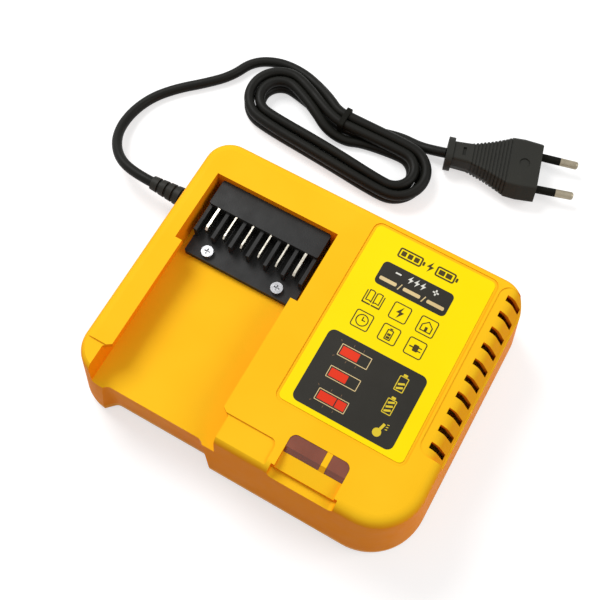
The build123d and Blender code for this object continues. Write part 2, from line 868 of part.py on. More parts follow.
write(
    screw_group(
        led_post_places,
        led_board_top - led_board_thickness,
        led_screw_length,
        led_screw_radius,
        led_screw_head_radius,
        led_board_thickness,
        head_up=False,
    ),
    "indicator_board_screws",
)

with BuildPart() as indicator_lamps:
    for i in range(led_count):
        x = led_board_x + (i - (led_count - 1) / 2) * led_pitch
        with BuildSketch(Plane.XY.offset(led_board_top)):
            with Locations((x, led_board_y)):
                Circle(led_radius)
        extrude(amount=led_height)
    fillet(indicator_lamps.edges().group_by(Axis.Z)[-1], radius=0.8 * led_radius)
write(indicator_lamps.part, "indicator_lamps")

# ---------------------------------------------------------------- main board
with BuildPart() as main_board:
    with BuildSketch(Plane.XY.offset(board_underside)):
        with Locations(((board_left + board_right) / 2, (board_front + board_rear) / 2)):
            Rectangle(board_right - board_left, board_rear - board_front)
        with Locations(*board_screw_places):
            Circle(clearance_hole_radius, mode=Mode.SUBTRACT)
    extrude(amount=board_thickness)
write(main_board.part, "main_board")

write(
    screw_group(
        board_screw_places,
        board_top,
        board_screw_length,
        screw_radius,
        screw_head_radius,
        screw_head_height,
        head_up=True,
    ),
    "board_screws",
)


input_can_radius = 10.0
input_can_height = 28.0
input_can_x = 9.0
input_can_inset = 14.0
input_can_y = board_rear - input_can_inset
output_can_radius = 5.0
output_can_height = 20.0
output_can_x = 54.0
output_can_y = 28.0
output_can_pitch = 11.5
can_crimp = 1.0


def upright_can(x, y, radius, height):
    """A can capacitor standing on the board, with its crimped groove."""
    with BuildPart() as can:
        with BuildSketch(Plane.XY.offset(board_top)):
            with Locations((x, y)):
                Circle(radius)
        extrude(amount=height)
        with BuildSketch(Plane.XY.offset(board_top + 2 * can_crimp)):
            with Locations((x, y)):
                Circle(radius)
                Circle(radius - can_crimp / 2, mode=Mode.SUBTRACT)
        extrude(amount=can_crimp, mode=Mode.SUBTRACT)
        fillet(can.edges().group_by(Axis.Z)[-1], radius=can_crimp)
    return can.part


write(
    upright_can(input_can_x, input_can_y, input_can_radius, input_can_height),
    "input_capacitor",
)

output_cans = [
    upright_can(output_can_x, output_can_y - i * output_can_pitch, output_can_radius, output_can_height)
    for i in range(2)
]
with BuildPart() as output_capacitors:
    add(output_cans)
write(output_capacitors.part, "output_capacitors")

# transformer: a ferrite core of two halves around a bobbin and its taped winding
core_width = 30.0             # X
core_depth = 28.0             # Y
core_height = 9.0             # thickness of the ferrite
core_limb = 6.0
bobbin_flange = 1.4
transformer_x = 30.0
transformer_y = 2.0
winding_radius_gap = 0.1
post_width = core_limb + 2 * winding_radius_gap
window_width = (core_width - 3 * core_limb) / 2 - winding_radius_gap
core_lift = window_width      # the bobbin's flanges stand on the board
core_middle_z = board_top + core_lift + core_height / 2

with BuildPart() as transformer_core:
    with BuildSketch(Plane.XY.offset(board_top + core_lift)):
        with Locations((transformer_x, transformer_y)):
            Rectangle(core_width, core_depth)
            Rectangle(core_width - 2 * core_limb, core_depth - 2 * core_limb, mode=Mode.SUBTRACT)
            Rectangle(core_limb, core_depth)
    extrude(amount=core_height)
    split(bisect_by=Plane.XZ.offset(-transformer_y), keep=Keep.BOTH)
write(transformer_core.part, "transformer_core")

winding_length = core_depth - 2 * core_limb - 2 * bobbin_flange - 2 * winding_radius_gap
sleeve_thickness = 0.8

with BuildPart() as transformer_bobbin:
    bobbin_length = core_depth - 2 * core_limb - 2 * winding_radius_gap
    with BuildSketch(Plane.XZ.offset(-transformer_y - bobbin_length / 2)):
        with Locations((transformer_x, core_middle_z)):
            Rectangle(post_width + 2 * window_width, core_height + 2 * window_width)
    extrude(amount=bobbin_length)
    with BuildSketch(Plane.XZ.offset(-transformer_y - winding_length / 2)):
        with Locations((transformer_x, core_middle_z)):
            Rectangle(post_width + 4 * window_width, core_height + 4 * window_width)
            Rectangle(
                post_width + 2 * sleeve_thickness,
                core_height + 2 * winding_radius_gap + 2 * sleeve_thickness,
                mode=Mode.SUBTRACT,
            )
    extrude(amount=winding_length, mode=Mode.SUBTRACT)
    with BuildSketch(Plane.XZ.offset(-transformer_y - bobbin_length)):
        with Locations((transformer_x, core_middle_z)):
            Rectangle(post_width, core_height + 2 * winding_radius_gap)
    extrude(amount=2 * bobbin_length, mode=Mode.SUBTRACT)
write(transformer_bobbin.part, "transformer_bobbin")

with BuildPart() as transformer_winding:
    with BuildSketch(Plane.XZ.offset(-transformer_y - (winding_length - winding_radius_gap) / 2)):
        with Locations((transformer_x, core_middle_z)):
            RectangleRounded(
                post_width + 2 * window_width - sleeve_thickness,
                core_height + 2 * window_width - sleeve_thickness,
                2 * sleeve_thickness,
            )
            Rectangle(
                post_width + 2 * sleeve_thickness + winding_radius_gap,
                core_height + 3 * winding_radius_gap + 2 * sleeve_thickness,
                mode=Mode.SUBTRACT,
            )
    extrude(amount=winding_length - winding_radius_gap)
write(transformer_winding.part, "transformer_winding")

# ---------------------------------------------------------------- power parts on the board
heatsink_thickness = 2.0
heatsink_height = 26.0
heatsink_foot = 5.0
primary_sink_x = 4.0
primary_sink_inset = 5.5
primary_sink_front = board_front + primary_sink_inset
primary_sink_length = 40.0
secondary_sink_x = 52.0
secondary_sink_inset = 9.5
secondary_sink_front = board_front + secondary_sink_inset
secondary_sink_length = 32.0
case_width = 10.2             # transistor and rectifier cases
case_height = 9.2
case_thickness = 4.4
tab_height = 15.6
tab_thickness = 1.3
case_lift = 5.0
case_leg_width = 0.9
case_leg_pitch = 2.5
tab_hole_radius = 1.6
tab_hole_drop = 2.8           # below the tab's top
transistor_inset = 12.0       # from its heatsink's front end
rectifier_inset = 16.0
transistor_y = primary_sink_front + transistor_inset
rectifier_y = secondary_sink_front + rectifier_inset
tab_screw_length = 4.5


def heatsink(x, front, length, side):
    """An aluminium angle standing on the board, with a threaded hole level with a tab's."""
    hole_y = transistor_y if side > 0 else rectifier_y
    with BuildPart() as angle:
        block((x, front, board_top), (x + heatsink_thickness, front + length, board_top + heatsink_height))
        foot_low = x - heatsink_foot if side > 0 else x
        block(
            (foot_low, front, board_top + heatsink_height - heatsink_thickness),
            (
                foot_low + heatsink_foot + heatsink_thickness,
                front + length,
                board_top + heatsink_height,
            ),
        )
        with BuildSketch(Plane.YZ.offset(x - beyond)):
            with Locations((hole_y, tab_hole_z)):
                Circle(pilot_radius)
        extrude(amount=2 * beyond + heatsink_thickness, mode=Mode.SUBTRACT)
    return angle.part


tab_hole_z = board_top + case_lift + tab_height - tab_hole_drop


def tab_package(sink_x, y, side):
    """A three-legged power case whose tab lies against a heatsink's face."""
    face = sink_x + heatsink_thickness if side > 0 else sink_x
    low_z = board_top + case_lift

    def along(depth):
        return sorted((face, face + side * depth))

    tab_low, tab_high = along(tab_thickness)
    case_low, case_high = along(case_thickness)
    leg_low, leg_high = along(case_thickness / 2 + case_leg_width / 2)
    with BuildPart() as package:
        block((tab_low, y - case_width / 2, low_z), (tab_high, y + case_width / 2, low_z + tab_height))
        block((case_low, y - case_width / 2, low_z), (case_high, y + case_width / 2, low_z + case_height))
        for i in (-1, 0, 1):
            leg_y = y + i * case_leg_pitch
            leg_face = leg_high - case_leg_width if side > 0 else leg_low
            block(
                (leg_face, leg_y - case_leg_width / 2, board_top),
                (leg_face + case_leg_width, leg_y + case_leg_width / 2, low_z),
            )
        with BuildSketch(Plane.YZ.offset(face - beyond)):
            with Locations((y, tab_hole_z)):
                Circle(tab_hole_radius)
        extrude(amount=2 * beyond, mode=Mode.SUBTRACT)
    return package.part


def tab_screw(sink_x, y, side):
    """A screw that clamps a tab to its heatsink, along X."""
    face = sink_x + heatsink_thickness + tab_thickness if side > 0 else sink_x - tab_thickness
    with BuildPart() as screw:
        with BuildSketch(Plane.YZ.offset(face)):
            with Locations((y, tab_hole_z)):
                Circle(screw_radius)
        extrude(amount=-side * (tab_screw_length - tab_thickness))
        with BuildSketch(Plane.YZ.offset(face)):
            with Locations((y, tab_hole_z)):
                Circle(screw_head_radius)
        extrude(amount=side * screw_head_height)
    return screw.part


write(heatsink(primary_sink_x, primary_sink_front, primary_sink_length, 1), "primary_heatsink")
write(heatsink(secondary_sink_x, secondary_sink_front, secondary_sink_length, -1), "secondary_heatsink")
write(tab_package(primary_sink_x, transistor_y, 1), "switching_transistor")
write(tab_package(secondary_sink_x, rectifier_y, -1), "output_rectifier")
tab_screws = [
    tab_screw(primary_sink_x, transistor_y, 1),
    tab_screw(secondary_sink_x, rectifier_y, -1),
]
with BuildPart() as heatsink_screws:
    add(tab_screws)
write(heatsink_screws.part, "heatsink_screws")

# mains side: fuse in clips, surge parts, filter and rectifier
fuse_inset = 8.0              # this and the next from the board's left edge
varistor_inset = 16.8
choke_inset = 16.0
filter_cap_inset = 26.4
safety_inset = 32.0
bridge_inset = 40.0
safety_front_inset = 11.5
fuse_x = board_left + fuse_inset
fuse_y = 5.0
fuse_length = 20.0
fuse_radius = 2.6
fuse_lift = 1.6
clip_width = 5.0
clip_thickness = 0.6
disc_lift = 1.5
disc_leg_radius = 0.4
disc_leg_offset = 2.5
varistor_x = board_left + varistor_inset
varistor_y = 11.0
varistor_radius = 5.0
varistor_thickness = 3.6
thermistor_y = 1.0
thermistor_radius = 4.5
thermistor_thickness = 4.2
safety_x = board_left + safety_inset
safety_y = board_front + safety_front_inset
safety_radius = 4.2
safety_thickness = 3.2
filter_cap_x = board_left + filter_cap_inset
filter_cap_y = 3.0
filter_cap_size = (8.0, 17.0, 11.5)
bridge_x = board_left + bridge_inset
bridge_y = -12.0
bridge_size = (4.2, 16.0, 9.0)
bridge_lift = 2.5
bridge_leg_pitch = 3.8
choke_x = board_left + choke_inset
choke_y = -20.0
choke_outer = 6.4
choke_inner = 3.6
choke_depth = 7.0
choke_wire = 1.0
choke_gap_angle = 50.0

fuse_z = board_top + fuse_lift + fuse_radius
with BuildPart() as mains_fuse:
    with BuildSketch(Plane.XZ.offset(-fuse_y - fuse_length / 2)):
        with Locations((fuse_x, fuse_z)):
            Circle(fuse_radius)
    extrude(amount=fuse_length)
    with BuildSketch(Plane.XZ.offset(-fuse_y - fuse_length / 2 + clip_width)):
        with Locations((fuse_x, fuse_z)):
            Circle(fuse_radius + 1)
            Circle(0.93 * fuse_radius, mode=Mode.SUBTRACT)
    extrude(amount=fuse_length - 2 * clip_width, mode=Mode.SUBTRACT)
write(mains_fuse.part, "mains_fuse")

with BuildPart() as fuse_clips:
    for side in (-1, 1):
        clip_y = fuse_y + side * (fuse_length - clip_width) / 2
        with BuildSketch(Plane.XZ.offset(-clip_y - clip_width / 2)):
            with Locations((fuse_x, fuse_z)):
                Circle(fuse_radius + clip_thickness)
            with Locations((fuse_x, (board_top + fuse_z) / 2)):
                Rectangle(2 * fuse_radius, fuse_z - board_top)
            with Locations((fuse_x, fuse_z)):
                Circle(fuse_radius, mode=Mode.SUBTRACT)
            with Locations((fuse_x, fuse_z + 1.5 * fuse_radius)):
                Rectangle(4 * fuse_radius, 2 * fuse_radius, mode=Mode.SUBTRACT)
        extrude(amount=clip_width)
write(fuse_clips.part, "fuse_clips")


def disc_part(x, y, radius, thickness):
    """A coated disc standing on two legs, its flat faces towards +Y and -Y."""
    middle_z = board_top + disc_lift + radius
    with BuildPart() as disc:
        with BuildSketch(Plane.XZ.offset(-y - thickness / 2)):
            with Locations((x, middle_z)):
                Circle(radius)
        extrude(amount=thickness)
        fillet(disc.edges(), radius=thickness / 4)
        with BuildSketch(Plane.XY.offset(board_top)):
            with Locations((x - disc_leg_offset, y), (x + disc_leg_offset, y)):
                Circle(disc_leg_radius)
        extrude(amount=middle_z - board_top)
    return disc.part


write(disc_part(varistor_x, varistor_y, varistor_radius, varistor_thickness), "surge_varistor")
write(disc_part(varistor_x, thermistor_y, thermistor_radius, thermistor_thickness), "inrush_thermistor")
write(disc_part(safety_x, safety_y, safety_radius, safety_thickness), "safety_capacitor")


def boxed_part(x, y, size, lift, corner):
    """A moulded box on the board, standing off by lift on its legs."""
    with BuildPart() as box:
        with BuildSketch(Plane.XY.offset(board_top + lift)):
            with Locations((x, y)):
                Rectangle(size[0], size[1])
        extrude(amount=size[2])
        chamfer(box.edges().group_by(Axis.Z)[-1], length=corner)
    return box.part


write(boxed_part(filter_cap_x, filter_cap_y, filter_cap_size, 0, 0.6), "filter_capacitor")

bridge_box = boxed_part(bridge_x, bridge_y, bridge_size, bridge_lift, 0.6)
with BuildPart() as bridge_rectifier:
    add(bridge_box)
    for i in range(4):
        leg_y = bridge_y + (i - 1.5) * bridge_leg_pitch
        with BuildSketch(Plane.XY.offset(board_top)):
            with Locations((bridge_x, leg_y)):
                Rectangle(case_leg_width, case_leg_width)
        extrude(amount=bridge_lift)
write(bridge_rectifier.part, "bridge_rectifier")

choke_z = board_top + choke_outer
choke_seat = 0.05
with BuildPart() as filter_choke_core:
    with BuildSketch(Plane.XZ.offset(-choke_y - choke_depth / 2)):
        with Locations((choke_x, choke_z)):
            Circle(choke_outer)
            Circle(choke_inner, mode=Mode.SUBTRACT)
    extrude(amount=choke_depth)
write(filter_choke_core.part, "filter_choke_core")

with BuildPart() as filter_choke_windings:
    with BuildSketch(Plane.XZ.offset(-choke_y - choke_depth / 2 - choke_wire)):
        with Locations((choke_x, choke_z)):
            Circle(choke_outer + choke_wire)
            Circle(choke_inner - choke_wire, mode=Mode.SUBTRACT)
    extrude(amount=choke_depth + 2 * choke_wire)
    with BuildSketch(Plane.XZ.offset(-choke_y - choke_depth / 2 - choke_seat)):
        with Locations((choke_x, choke_z)):
            Circle(choke_outer + choke_seat)
            Circle(choke_inner - choke_seat, mode=Mode.SUBTRACT)
    extrude(amount=choke_depth + 2 * choke_seat, mode=Mode.SUBTRACT)
    gap_half = (choke_outer + 2 * choke_wire) * tan(radians(choke_gap_angle / 2))
    with BuildSketch(Plane.XZ.offset(-choke_y - choke_depth)):
        with Locations((choke_x, choke_z)):
            Rectangle(2 * gap_half, 4 * choke_outer)
    extrude(amount=2 * choke_depth, mode=Mode.SUBTRACT)
write(filter_choke_windings.part, "filter_choke_windings")

# output side and control
inductor_x = 36.0
inductor_inset = 14.0
inductor_y = board_rear - inductor_inset
inductor_radius = 7.0
inductor_height = 12.0
inductor_flange = 1.5
inductor_wind_radius = 6.2
inductor_post_radius = 3.0
optocoupler_x = 24.0
optocoupler_y = 22.0
chip_x = 30.0
chip_inset = 9.5
chip_y = board_front + chip_inset
chip_size = (6.4, 9.8, 3.4)
chip_lift = 0.6
chip_leg_pitch = 2.54
chip_leg_rows = 4
opto_leg_rows = 2
chip_leg_spread = 7.6

with BuildPart() as output_inductor:
    with BuildSketch(Plane.XY.offset(board_top)):
        with Locations((inductor_x, inductor_y)):
            Circle(inductor_radius)
    extrude(amount=inductor_height)
    with BuildSketch(Plane.XY.offset(board_top + inductor_flange)):
        with Locations((inductor_x, inductor_y)):
            Circle(inductor_radius + 1)
            Circle(inductor_post_radius, mode=Mode.SUBTRACT)
    extrude(amount=inductor_height - 2 * inductor_flange, mode=Mode.SUBTRACT)
write(output_inductor.part, "output_inductor_core")

with BuildPart() as inductor_winding:
    with BuildSketch(Plane.XY.offset(board_top + inductor_flange + choke_seat)):
        with Locations((inductor_x, inductor_y)):
            Circle(inductor_wind_radius)
            Circle(inductor_post_radius + choke_seat, mode=Mode.SUBTRACT)
    extrude(amount=inductor_height - 2 * inductor_flange - 2 * choke_seat)
write(inductor_winding.part, "output_inductor_winding")


def legged_chip(x, y, rows):
    """A dual-row plastic package with its legs bent down to the board."""
    length = chip_size[1] * rows / chip_leg_rows
    with BuildPart() as chip:
        with BuildSketch(Plane.XY.offset(board_top + chip_lift)):
            with Locations((x, y)):
                Rectangle(chip_size[0], length)
        extrude(amount=chip_size[2])
        for side in (-1, 1):
            for i in range(rows):
                leg_y = y + (i - (rows - 1) / 2) * chip_leg_pitch
                outer = x + side * chip_leg_spread / 2
                inner = x + side * (chip_size[0] / 2 - case_leg_width)
                low_x, high_x = sorted((outer, inner))
                block(
                    (low_x, leg_y - case_leg_width / 2, board_top + chip_lift + chip_size[2] / 2 - 0.2),
                    (high_x, leg_y + case_leg_width / 2, board_top + chip_lift + chip_size[2] / 2 + 0.2),
                )
                low_x, high_x = sorted((outer, outer - side * 0.4))
                block(
                    (low_x, leg_y - case_leg_width / 2, board_top),
                    (high_x, leg_y + case_leg_width / 2, board_top + chip_lift + chip_size[2] / 2),
                )
    return chip.part


write(legged_chip(chip_x, chip_y, chip_leg_rows), "controller_chip")
write(legged_chip(optocoupler_x, optocoupler_y, opto_leg_rows), "optocoupler")

# ---------------------------------------------------------------- connectors and inner wires
mains_plug_size = (8.0, 10.0, 8.0)
mains_plug_margin = 1.0       # from the board's left edge
mains_plug_x = board_left + mains_plug_margin + mains_plug_size[0] / 2
plug_gap = 0.85               # between the two connectors
mains_wire_radius = 0.9
mains_wire_pitch = 5.0
mains_wire_bend = 1.6
mains_wire_stagger = 1.5      # between the two wires' turns and the middle
sheath_reach = 21.0           # from the left face to the sheath's inner end
sheath_end_x = left_x + sheath_reach
output_plug_depth = 5.0
output_plug_height = 5.0
mains_plug_y = tail_y - output_plug_depth / 2 - plug_gap - mains_plug_size[1] / 2
output_wire_pitch = 2.6
output_wire_radius = 0.6
output_wire_bend = 1.2
output_wire_row_gap = 1.4     # the power wires enter the connector behind the signal wires
indicator_wire_radius = 0.6
indicator_wire_pitch = 2.0
indicator_wire_count = 4
indicator_wire_front_inset = 2.4
indicator_wire_rear_inset = 2.0
indicator_wire_front_y = led_board_y + indicator_wire_front_inset
indicator_wire_rear_y = board_front + indicator_wire_rear_inset
indicator_wire_bend = 2.0


def tube(points, radius, radii):
    """Round tube along straight runs joined by tangent arcs."""
    with BuildPart() as run:
        with BuildLine():
            line = FilletPolyline(*points, radius=radii)
        with BuildSketch(Plane(origin=line @ 0, z_dir=line % 0)):
            Circle(radius)
        sweep(path=line)
    return run.part


with BuildPart() as mains_input_connector:
    with BuildSketch(Plane.XY.offset(board_top)):
        with Locations((mains_plug_x, mains_plug_y)):
            Rectangle(mains_plug_size[0], mains_plug_size[1])
    extrude(amount=mains_plug_size[2])
    chamfer(mains_input_connector.edges().group_by(Axis.Z)[-1], length=0.6)
write(mains_input_connector.part, "mains_input_connector")

# two wires leave the sheath one above the other in plan and turn down to the connector
mains_plug_face = mains_plug_x - mains_plug_size[0] / 2
wire_offset = mains_wire_radius + blade_gap
mains_runs = []
for side in (-1, 1):
    turn_x = (sheath_end_x + mains_plug_face) / 2 + side * mains_wire_stagger
    start_y = exit_y + side * wire_offset
    end_y = mains_plug_y + side * mains_wire_pitch / 2
    run_points = [
        (sheath_end_x, start_y, exit_z),
        (turn_x, start_y, exit_z),
        (turn_x, end_y, exit_z),
        (mains_plug_face, end_y, exit_z),
    ]
    mains_runs.append(tube(run_points, mains_wire_radius, mains_wire_bend))
with BuildPart() as mains_wires:
    add(mains_runs)
write(mains_wires.part, "mains_wires")

with BuildPart() as output_connector:
    with BuildSketch(Plane.XY.offset(board_top)):
        with Locations((dock_x, tail_y)):
            Rectangle(terminal_count * output_wire_pitch + 1, output_plug_depth)
    extrude(amount=output_plug_height)
    chamfer(output_connector.edges().group_by(Axis.Z)[-1], length=0.6)
write(output_connector.part, "output_connector")

# wires fan out from the connector to the terminals' tails
fan_low = board_top + output_plug_height + 1.5
fan_high = tail_end - 1.5
fan_runs = []
for i, offset_x in enumerate(blade_offsets):
    low_x = dock_x + (i - (terminal_count - 1) / 2) * output_wire_pitch
    low_y = tail_y + output_wire_row_gap if i in (0, terminal_count - 1) else tail_y
    run_points = [
        (low_x, low_y, board_top + output_plug_height),
        (low_x, low_y, fan_low),
        (dock_x + offset_x, tail_y, fan_high),
        (dock_x + offset_x, tail_y, tail_end),
    ]
    fan_runs.append(tube(run_points, output_wire_radius, output_wire_bend))
with BuildPart() as output_wires:
    add([fan_runs[0], fan_runs[-1]])
write(output_wires.part, "output_wires")
with BuildPart() as signal_wires:
    add(fan_runs[1:-1])
write(signal_wires.part, "signal_wires")

lamp_runs = []
for i in range(indicator_wire_count):
    x = led_board_x + (i - (indicator_wire_count - 1) / 2) * indicator_wire_pitch
    run_points = [
        (x, indicator_wire_front_y, led_board_top - led_board_thickness),
        (x, indicator_wire_front_y, board_top + 0.62 * (led_board_top - board_top)),
        (x, indicator_wire_rear_y, board_top + 0.32 * (led_board_top - board_top)),
        (x, indicator_wire_rear_y, board_top),
    ]
    lamp_runs.append(tube(run_points, indicator_wire_radius, indicator_wire_bend))
with BuildPart() as indicator_wires:
    add(lamp_runs)
write(indicator_wires.part, "indicator_wires")

# ---------------------------------------------------------------- mains lead at the housing
relief_flange_face = left_x - blade_gap        # outer flange, against the wall
flange_lean = relief_flange_radius * tan(radians(draft))
relief_neck_length = wall + exit_lean + flange_lean + 2 * blade_gap
relief_inner_x = relief_flange_face + relief_neck_length + relief_flange
relief_outer_x = relief_flange_face - relief_flange
relief_tip_x = relief_flange_face - relief_length
relief_groove_count = 4
relief_groove_pitch = 4.2
relief_groove_width = 1.4
relief_groove_depth = 0.9


def relief_radius(x):
    """Radius of the relief's taper at x, before its grooves."""
    share = (x - relief_tip_x) / (relief_outer_x - relief_tip_x)
    return relief_tip_radius + share * (relief_root_radius - relief_tip_radius)


relief_profile = [
    (relief_inner_x, 0),
    (relief_inner_x, relief_flange_radius),
    (relief_inner_x - relief_flange, relief_flange_radius),
    (relief_inner_x - relief_flange, relief_neck_radius),
    (relief_flange_face, relief_neck_radius),
    (relief_flange_face, relief_flange_radius),
    (relief_outer_x, relief_flange_radius),
    (relief_outer_x, relief_root_radius),
]
for i in range(relief_groove_count):
    groove_x = relief_outer_x - 2.4 - i * relief_groove_pitch
    for x, cut in (
        (groove_x, 0),
        (groove_x, relief_groove_depth),
        (groove_x - relief_groove_width, relief_groove_depth),
        (groove_x - relief_groove_width, 0),
    ):
        relief_profile.append((x, relief_radius(x) - cut))
relief_profile.append((relief_tip_x, relief_tip_radius))
relief_profile.append((relief_tip_x, 0))

with BuildPart() as cord_strain_relief:
    with BuildSketch(Plane(origin=(0, exit_y, exit_z), x_dir=(1, 0, 0), z_dir=(0, -1, 0))):
        with BuildLine():
            Polyline(*relief_profile, close=True)
        make_face()
    revolve(axis=Axis((0, exit_y, exit_z), (1, 0, 0)))
write(cord_strain_relief.part, "cord_strain_relief")

with BuildPart() as cord_inner_end:
    with BuildSketch(Plane.YZ.offset(relief_inner_x)):
        with Locations((exit_y, exit_z)):
            Circle(cord_radius)
    extrude(amount=sheath_end_x - relief_inner_x)
write(cord_inner_end.part, "cord_inner_end")

with BuildPart() as cord_clamp:
    with BuildSketch(Plane.XY.offset(clamp_post_top)):
        with Locations((clamp_x, exit_y)):
            SlotOverall(2 * (clamp_post_offset + clamp_length / 2), clamp_length, rotation=90)
    extrude(amount=clamp_height)
    for x, y in clamp_places:
        with Locations((x, y, clamp_post_top + clamp_height)):
            Hole(clearance_hole_radius, depth=clamp_height)
    with BuildSketch(Plane.YZ.offset(clamp_x - clamp_length)):
        with Locations((exit_y, exit_z)):
            Circle(cord_radius)
    extrude(amount=2 * clamp_length, mode=Mode.SUBTRACT)
write(cord_clamp.part, "cord_clamp")

write(
    screw_group(
        clamp_places,
        clamp_post_top + clamp_height,
        clamp_screw_length,
        screw_radius,
        screw_head_radius,
        screw_head_height,
        head_up=True,
    ),
    "cord_clamp_screws",
)

# ---------------------------------------------------------------- free mains lead
lay_z = cord_radius           # the lead's axis where it lies on the floor
lead_route = [
    (relief_tip_x, exit_y, exit_z),
    (-117.5, exit_y, exit_z),
    (-130.0, 43.5, 11.0),
    (-138.8, 55.0, 6.8),
    (-141.0, 69.5, 3.8),
    (-137.3, 83.8, 2.7),
    (-128.5, 95.5, lay_z),
    (-117.5, 105.5, lay_z),
    (-107.6, 116.2, lay_z),
    (-102.4, 129.6, lay_z),
    (-90.0, 136.4, lay_z),
    (-75.5, 136.6, lay_z),
    (-62.2, 131.2, lay_z),
    (-52.3, 124.9, 3.8),
]

# hank: two turns on two, laid as a long oval coil; a tie pinches its rear run
hank_right = (-5.5, 106.8)
hank_right_radius = 17.2
hank_left = (-77.5, 114.2)
hank_left_radius = 18.2
hank_height = 2 * cord_diameter
hank_hole_right = (-7.6, 106.4)
hank_hole_right_radius = 7.0
hank_hole_left_radius = 7.8
hank_edge_radius = 2.0
hank_waist_x = -42.0
hank_waist_half_length = 7.0
hank_waist_rear = hank_right[1] + 17.8
hank_waist_front = hank_waist_rear - 2 * cord_diameter
tie_width = 2.6
tie_thickness = 0.8           # also how far the tie sinks into the hank's underside

plug_heading = 15.5           # degrees from +X
plug_start = (
    hank_right[0] + hank_right_radius - 0.3,
    hank_right[1] + hank_right_radius + 4.0,
)
plug_half_thickness = 6.85
plug_height = plug_half_thickness      # axis of the plug above the floor
tail_route = [
    (plug_start[0] - 38.0, plug_start[1] - 5.6, 3.0),
    (plug_start[0] - 25.0, plug_start[1] - 1.0, lay_z),
    (plug_start[0] - 14.5, plug_start[1] - 1.8, 3.4),
    (plug_start[0] - 7.2, plug_start[1] - 1.4, 5.4),
    (plug_start[0], plug_start[1], plug_height),
]


def corner_radii(points):
    """Largest fair arc at each corner of a route, from its two runs and its turn."""
    radii = []
    for i in range(1, len(points) - 1):
        before = Vector(*points[i]) - Vector(*points[i - 1])
        after = Vector(*points[i + 1]) - Vector(*points[i])
        half_turn = radians(before.get_angle(after)) / 2
        radii.append(0.45 * min(before.length, after.length) / tan(half_turn))
    return radii


lead_radii = corner_radii(lead_route)
tail_radii = corner_radii(tail_route)
print("lead radii", [round(radius, 1) for radius in lead_radii])
print("tail radii", [round(radius, 1) for radius in tail_radii])

write(tube(lead_route, cord_radius, lead_radii), "cord_lead")
write(tube(tail_route, cord_radius, tail_radii), "cord_tail")


def long_loop(left, left_radius, right, right_radius, waist_y):
    """Plan face of a long loop: two round ends joined by runs, the rear one pinched."""
    with BuildSketch() as loop:
        with Locations(left):
            Circle(left_radius)
        with Locations(right):
            Circle(right_radius)
        with BuildLine():
            Polyline(
                (left[0], left[1] + left_radius),
                (hank_waist_x - hank_waist_half_length, waist_y),
                (hank_waist_x + hank_waist_half_length, waist_y),
                (right[0], right[1] + right_radius),
                (right[0], right[1] - right_radius),
                (left[0], left[1] - left_radius),
                close=True,
            )
        make_face()
    return loop.sketch


with BuildPart() as cord_hank:
    with BuildSketch():
        add(long_loop(hank_left, hank_left_radius, hank_right, hank_right_radius, hank_waist_rear))
    extrude(amount=hank_height)
    fillet(cord_hank.edges().group_by(Axis.Z)[-1], radius=hank_edge_radius)
    with BuildSketch():
        add(
            long_loop(
                hank_left,
                hank_hole_left_radius,
                hank_hole_right,
                hank_hole_right_radius,
                hank_waist_front,
            )
        )
    extrude(amount=hank_height, mode=Mode.SUBTRACT)
    block(
        (hank_waist_x - tie_width / 2, hank_right[1], 0),
        (hank_waist_x + tie_width / 2, hank_waist_rear + beyond, tie_thickness),
        mode=Mode.SUBTRACT,
    )
write(cord_hank.part, "cord_hank")

with BuildPart() as cord_tie:
    with BuildSketch(Plane.YZ.offset(hank_waist_x - tie_width / 2)):
        with Locations(((hank_waist_front + hank_waist_rear) / 2, (hank_height + tie_thickness) / 2)):
            RectangleRounded(
                hank_waist_rear - hank_waist_front + 2 * tie_thickness,
                hank_height + tie_thickness,
                2 * tie_thickness,
            )
    extrude(amount=tie_width)
    add(cord_hank.part, mode=Mode.SUBTRACT)
write(cord_tie.part, "cord_tie")

# ---------------------------------------------------------------- plug
plug_collar_length = 3.3
plug_collar_half_width = 8.8
plug_face_u = 46.5            # from the collar's back to the pins' face
plug_corner = 1.6
plug_sections = [             # along the axis: half width, half width on top, half thickness
    (2.0, 6.3, 4.9, 5.5),
    (11.5, 6.6, 5.5, 5.7),
    (21.5, 11.2, 8.7, 6.2),
    (31.5, 17.2, 12.7, plug_half_thickness),
    (37.5, 17.65, 12.9, plug_half_thickness),
    (plug_face_u, 16.9, 12.2, 6.6),
]
plug_rib_count = 11
plug_rib_pitch = 1.75
plug_rib_start = 13.0
plug_groove_width = 0.8
plug_groove_depth = 0.5
plug_slot_u = 8.6
plug_slot_length = 1.6
plug_slot_width = 4.6
plug_slot_depth = 2.2
plug_dimple_u = 38.6
plug_dimple_radius = 2.6
plug_dimple_depth = 0.6
pin_pitch = 18.6
pin_tip_pitch = 17.5
pin_radius = 2.0
pin_core_radius = 1.5
pin_free_length = 19.0
pin_sleeve_length = 10.0
pin_root = 6.0                # inside the plug body

plug_axis = (cos(radians(plug_heading)), sin(radians(plug_heading)), 0)
plug_side = (-plug_axis[1], plug_axis[0], 0)
plug_middle = Vector(plug_start[0], plug_start[1], plug_height)


def plug_plane(u):
    """Plane across the plug at u from its collar: X to its left, Y up."""
    return Plane(origin=plug_middle + Vector(*plug_axis) * u, x_dir=plug_side, z_dir=plug_axis)


def plug_form(inset):
    """The plug's flattened six-sided form, moved inwards by inset."""
    with BuildPart() as form:
        for u, half_width, top_half_width, half_thickness in plug_sections:
            wide = half_width - inset
            flat = top_half_width - inset / 2
            high = half_thickness - inset
            corners = [(wide, 0), (flat, high), (-flat, high), (-wide, 0), (-flat, -high), (flat, -high)]
            with BuildSketch(plug_plane(u)):
                with BuildLine():
                    FilletPolyline(*corners, radius=plug_corner, close=True)
                make_face()
        loft(ruled=True)
    return form.part


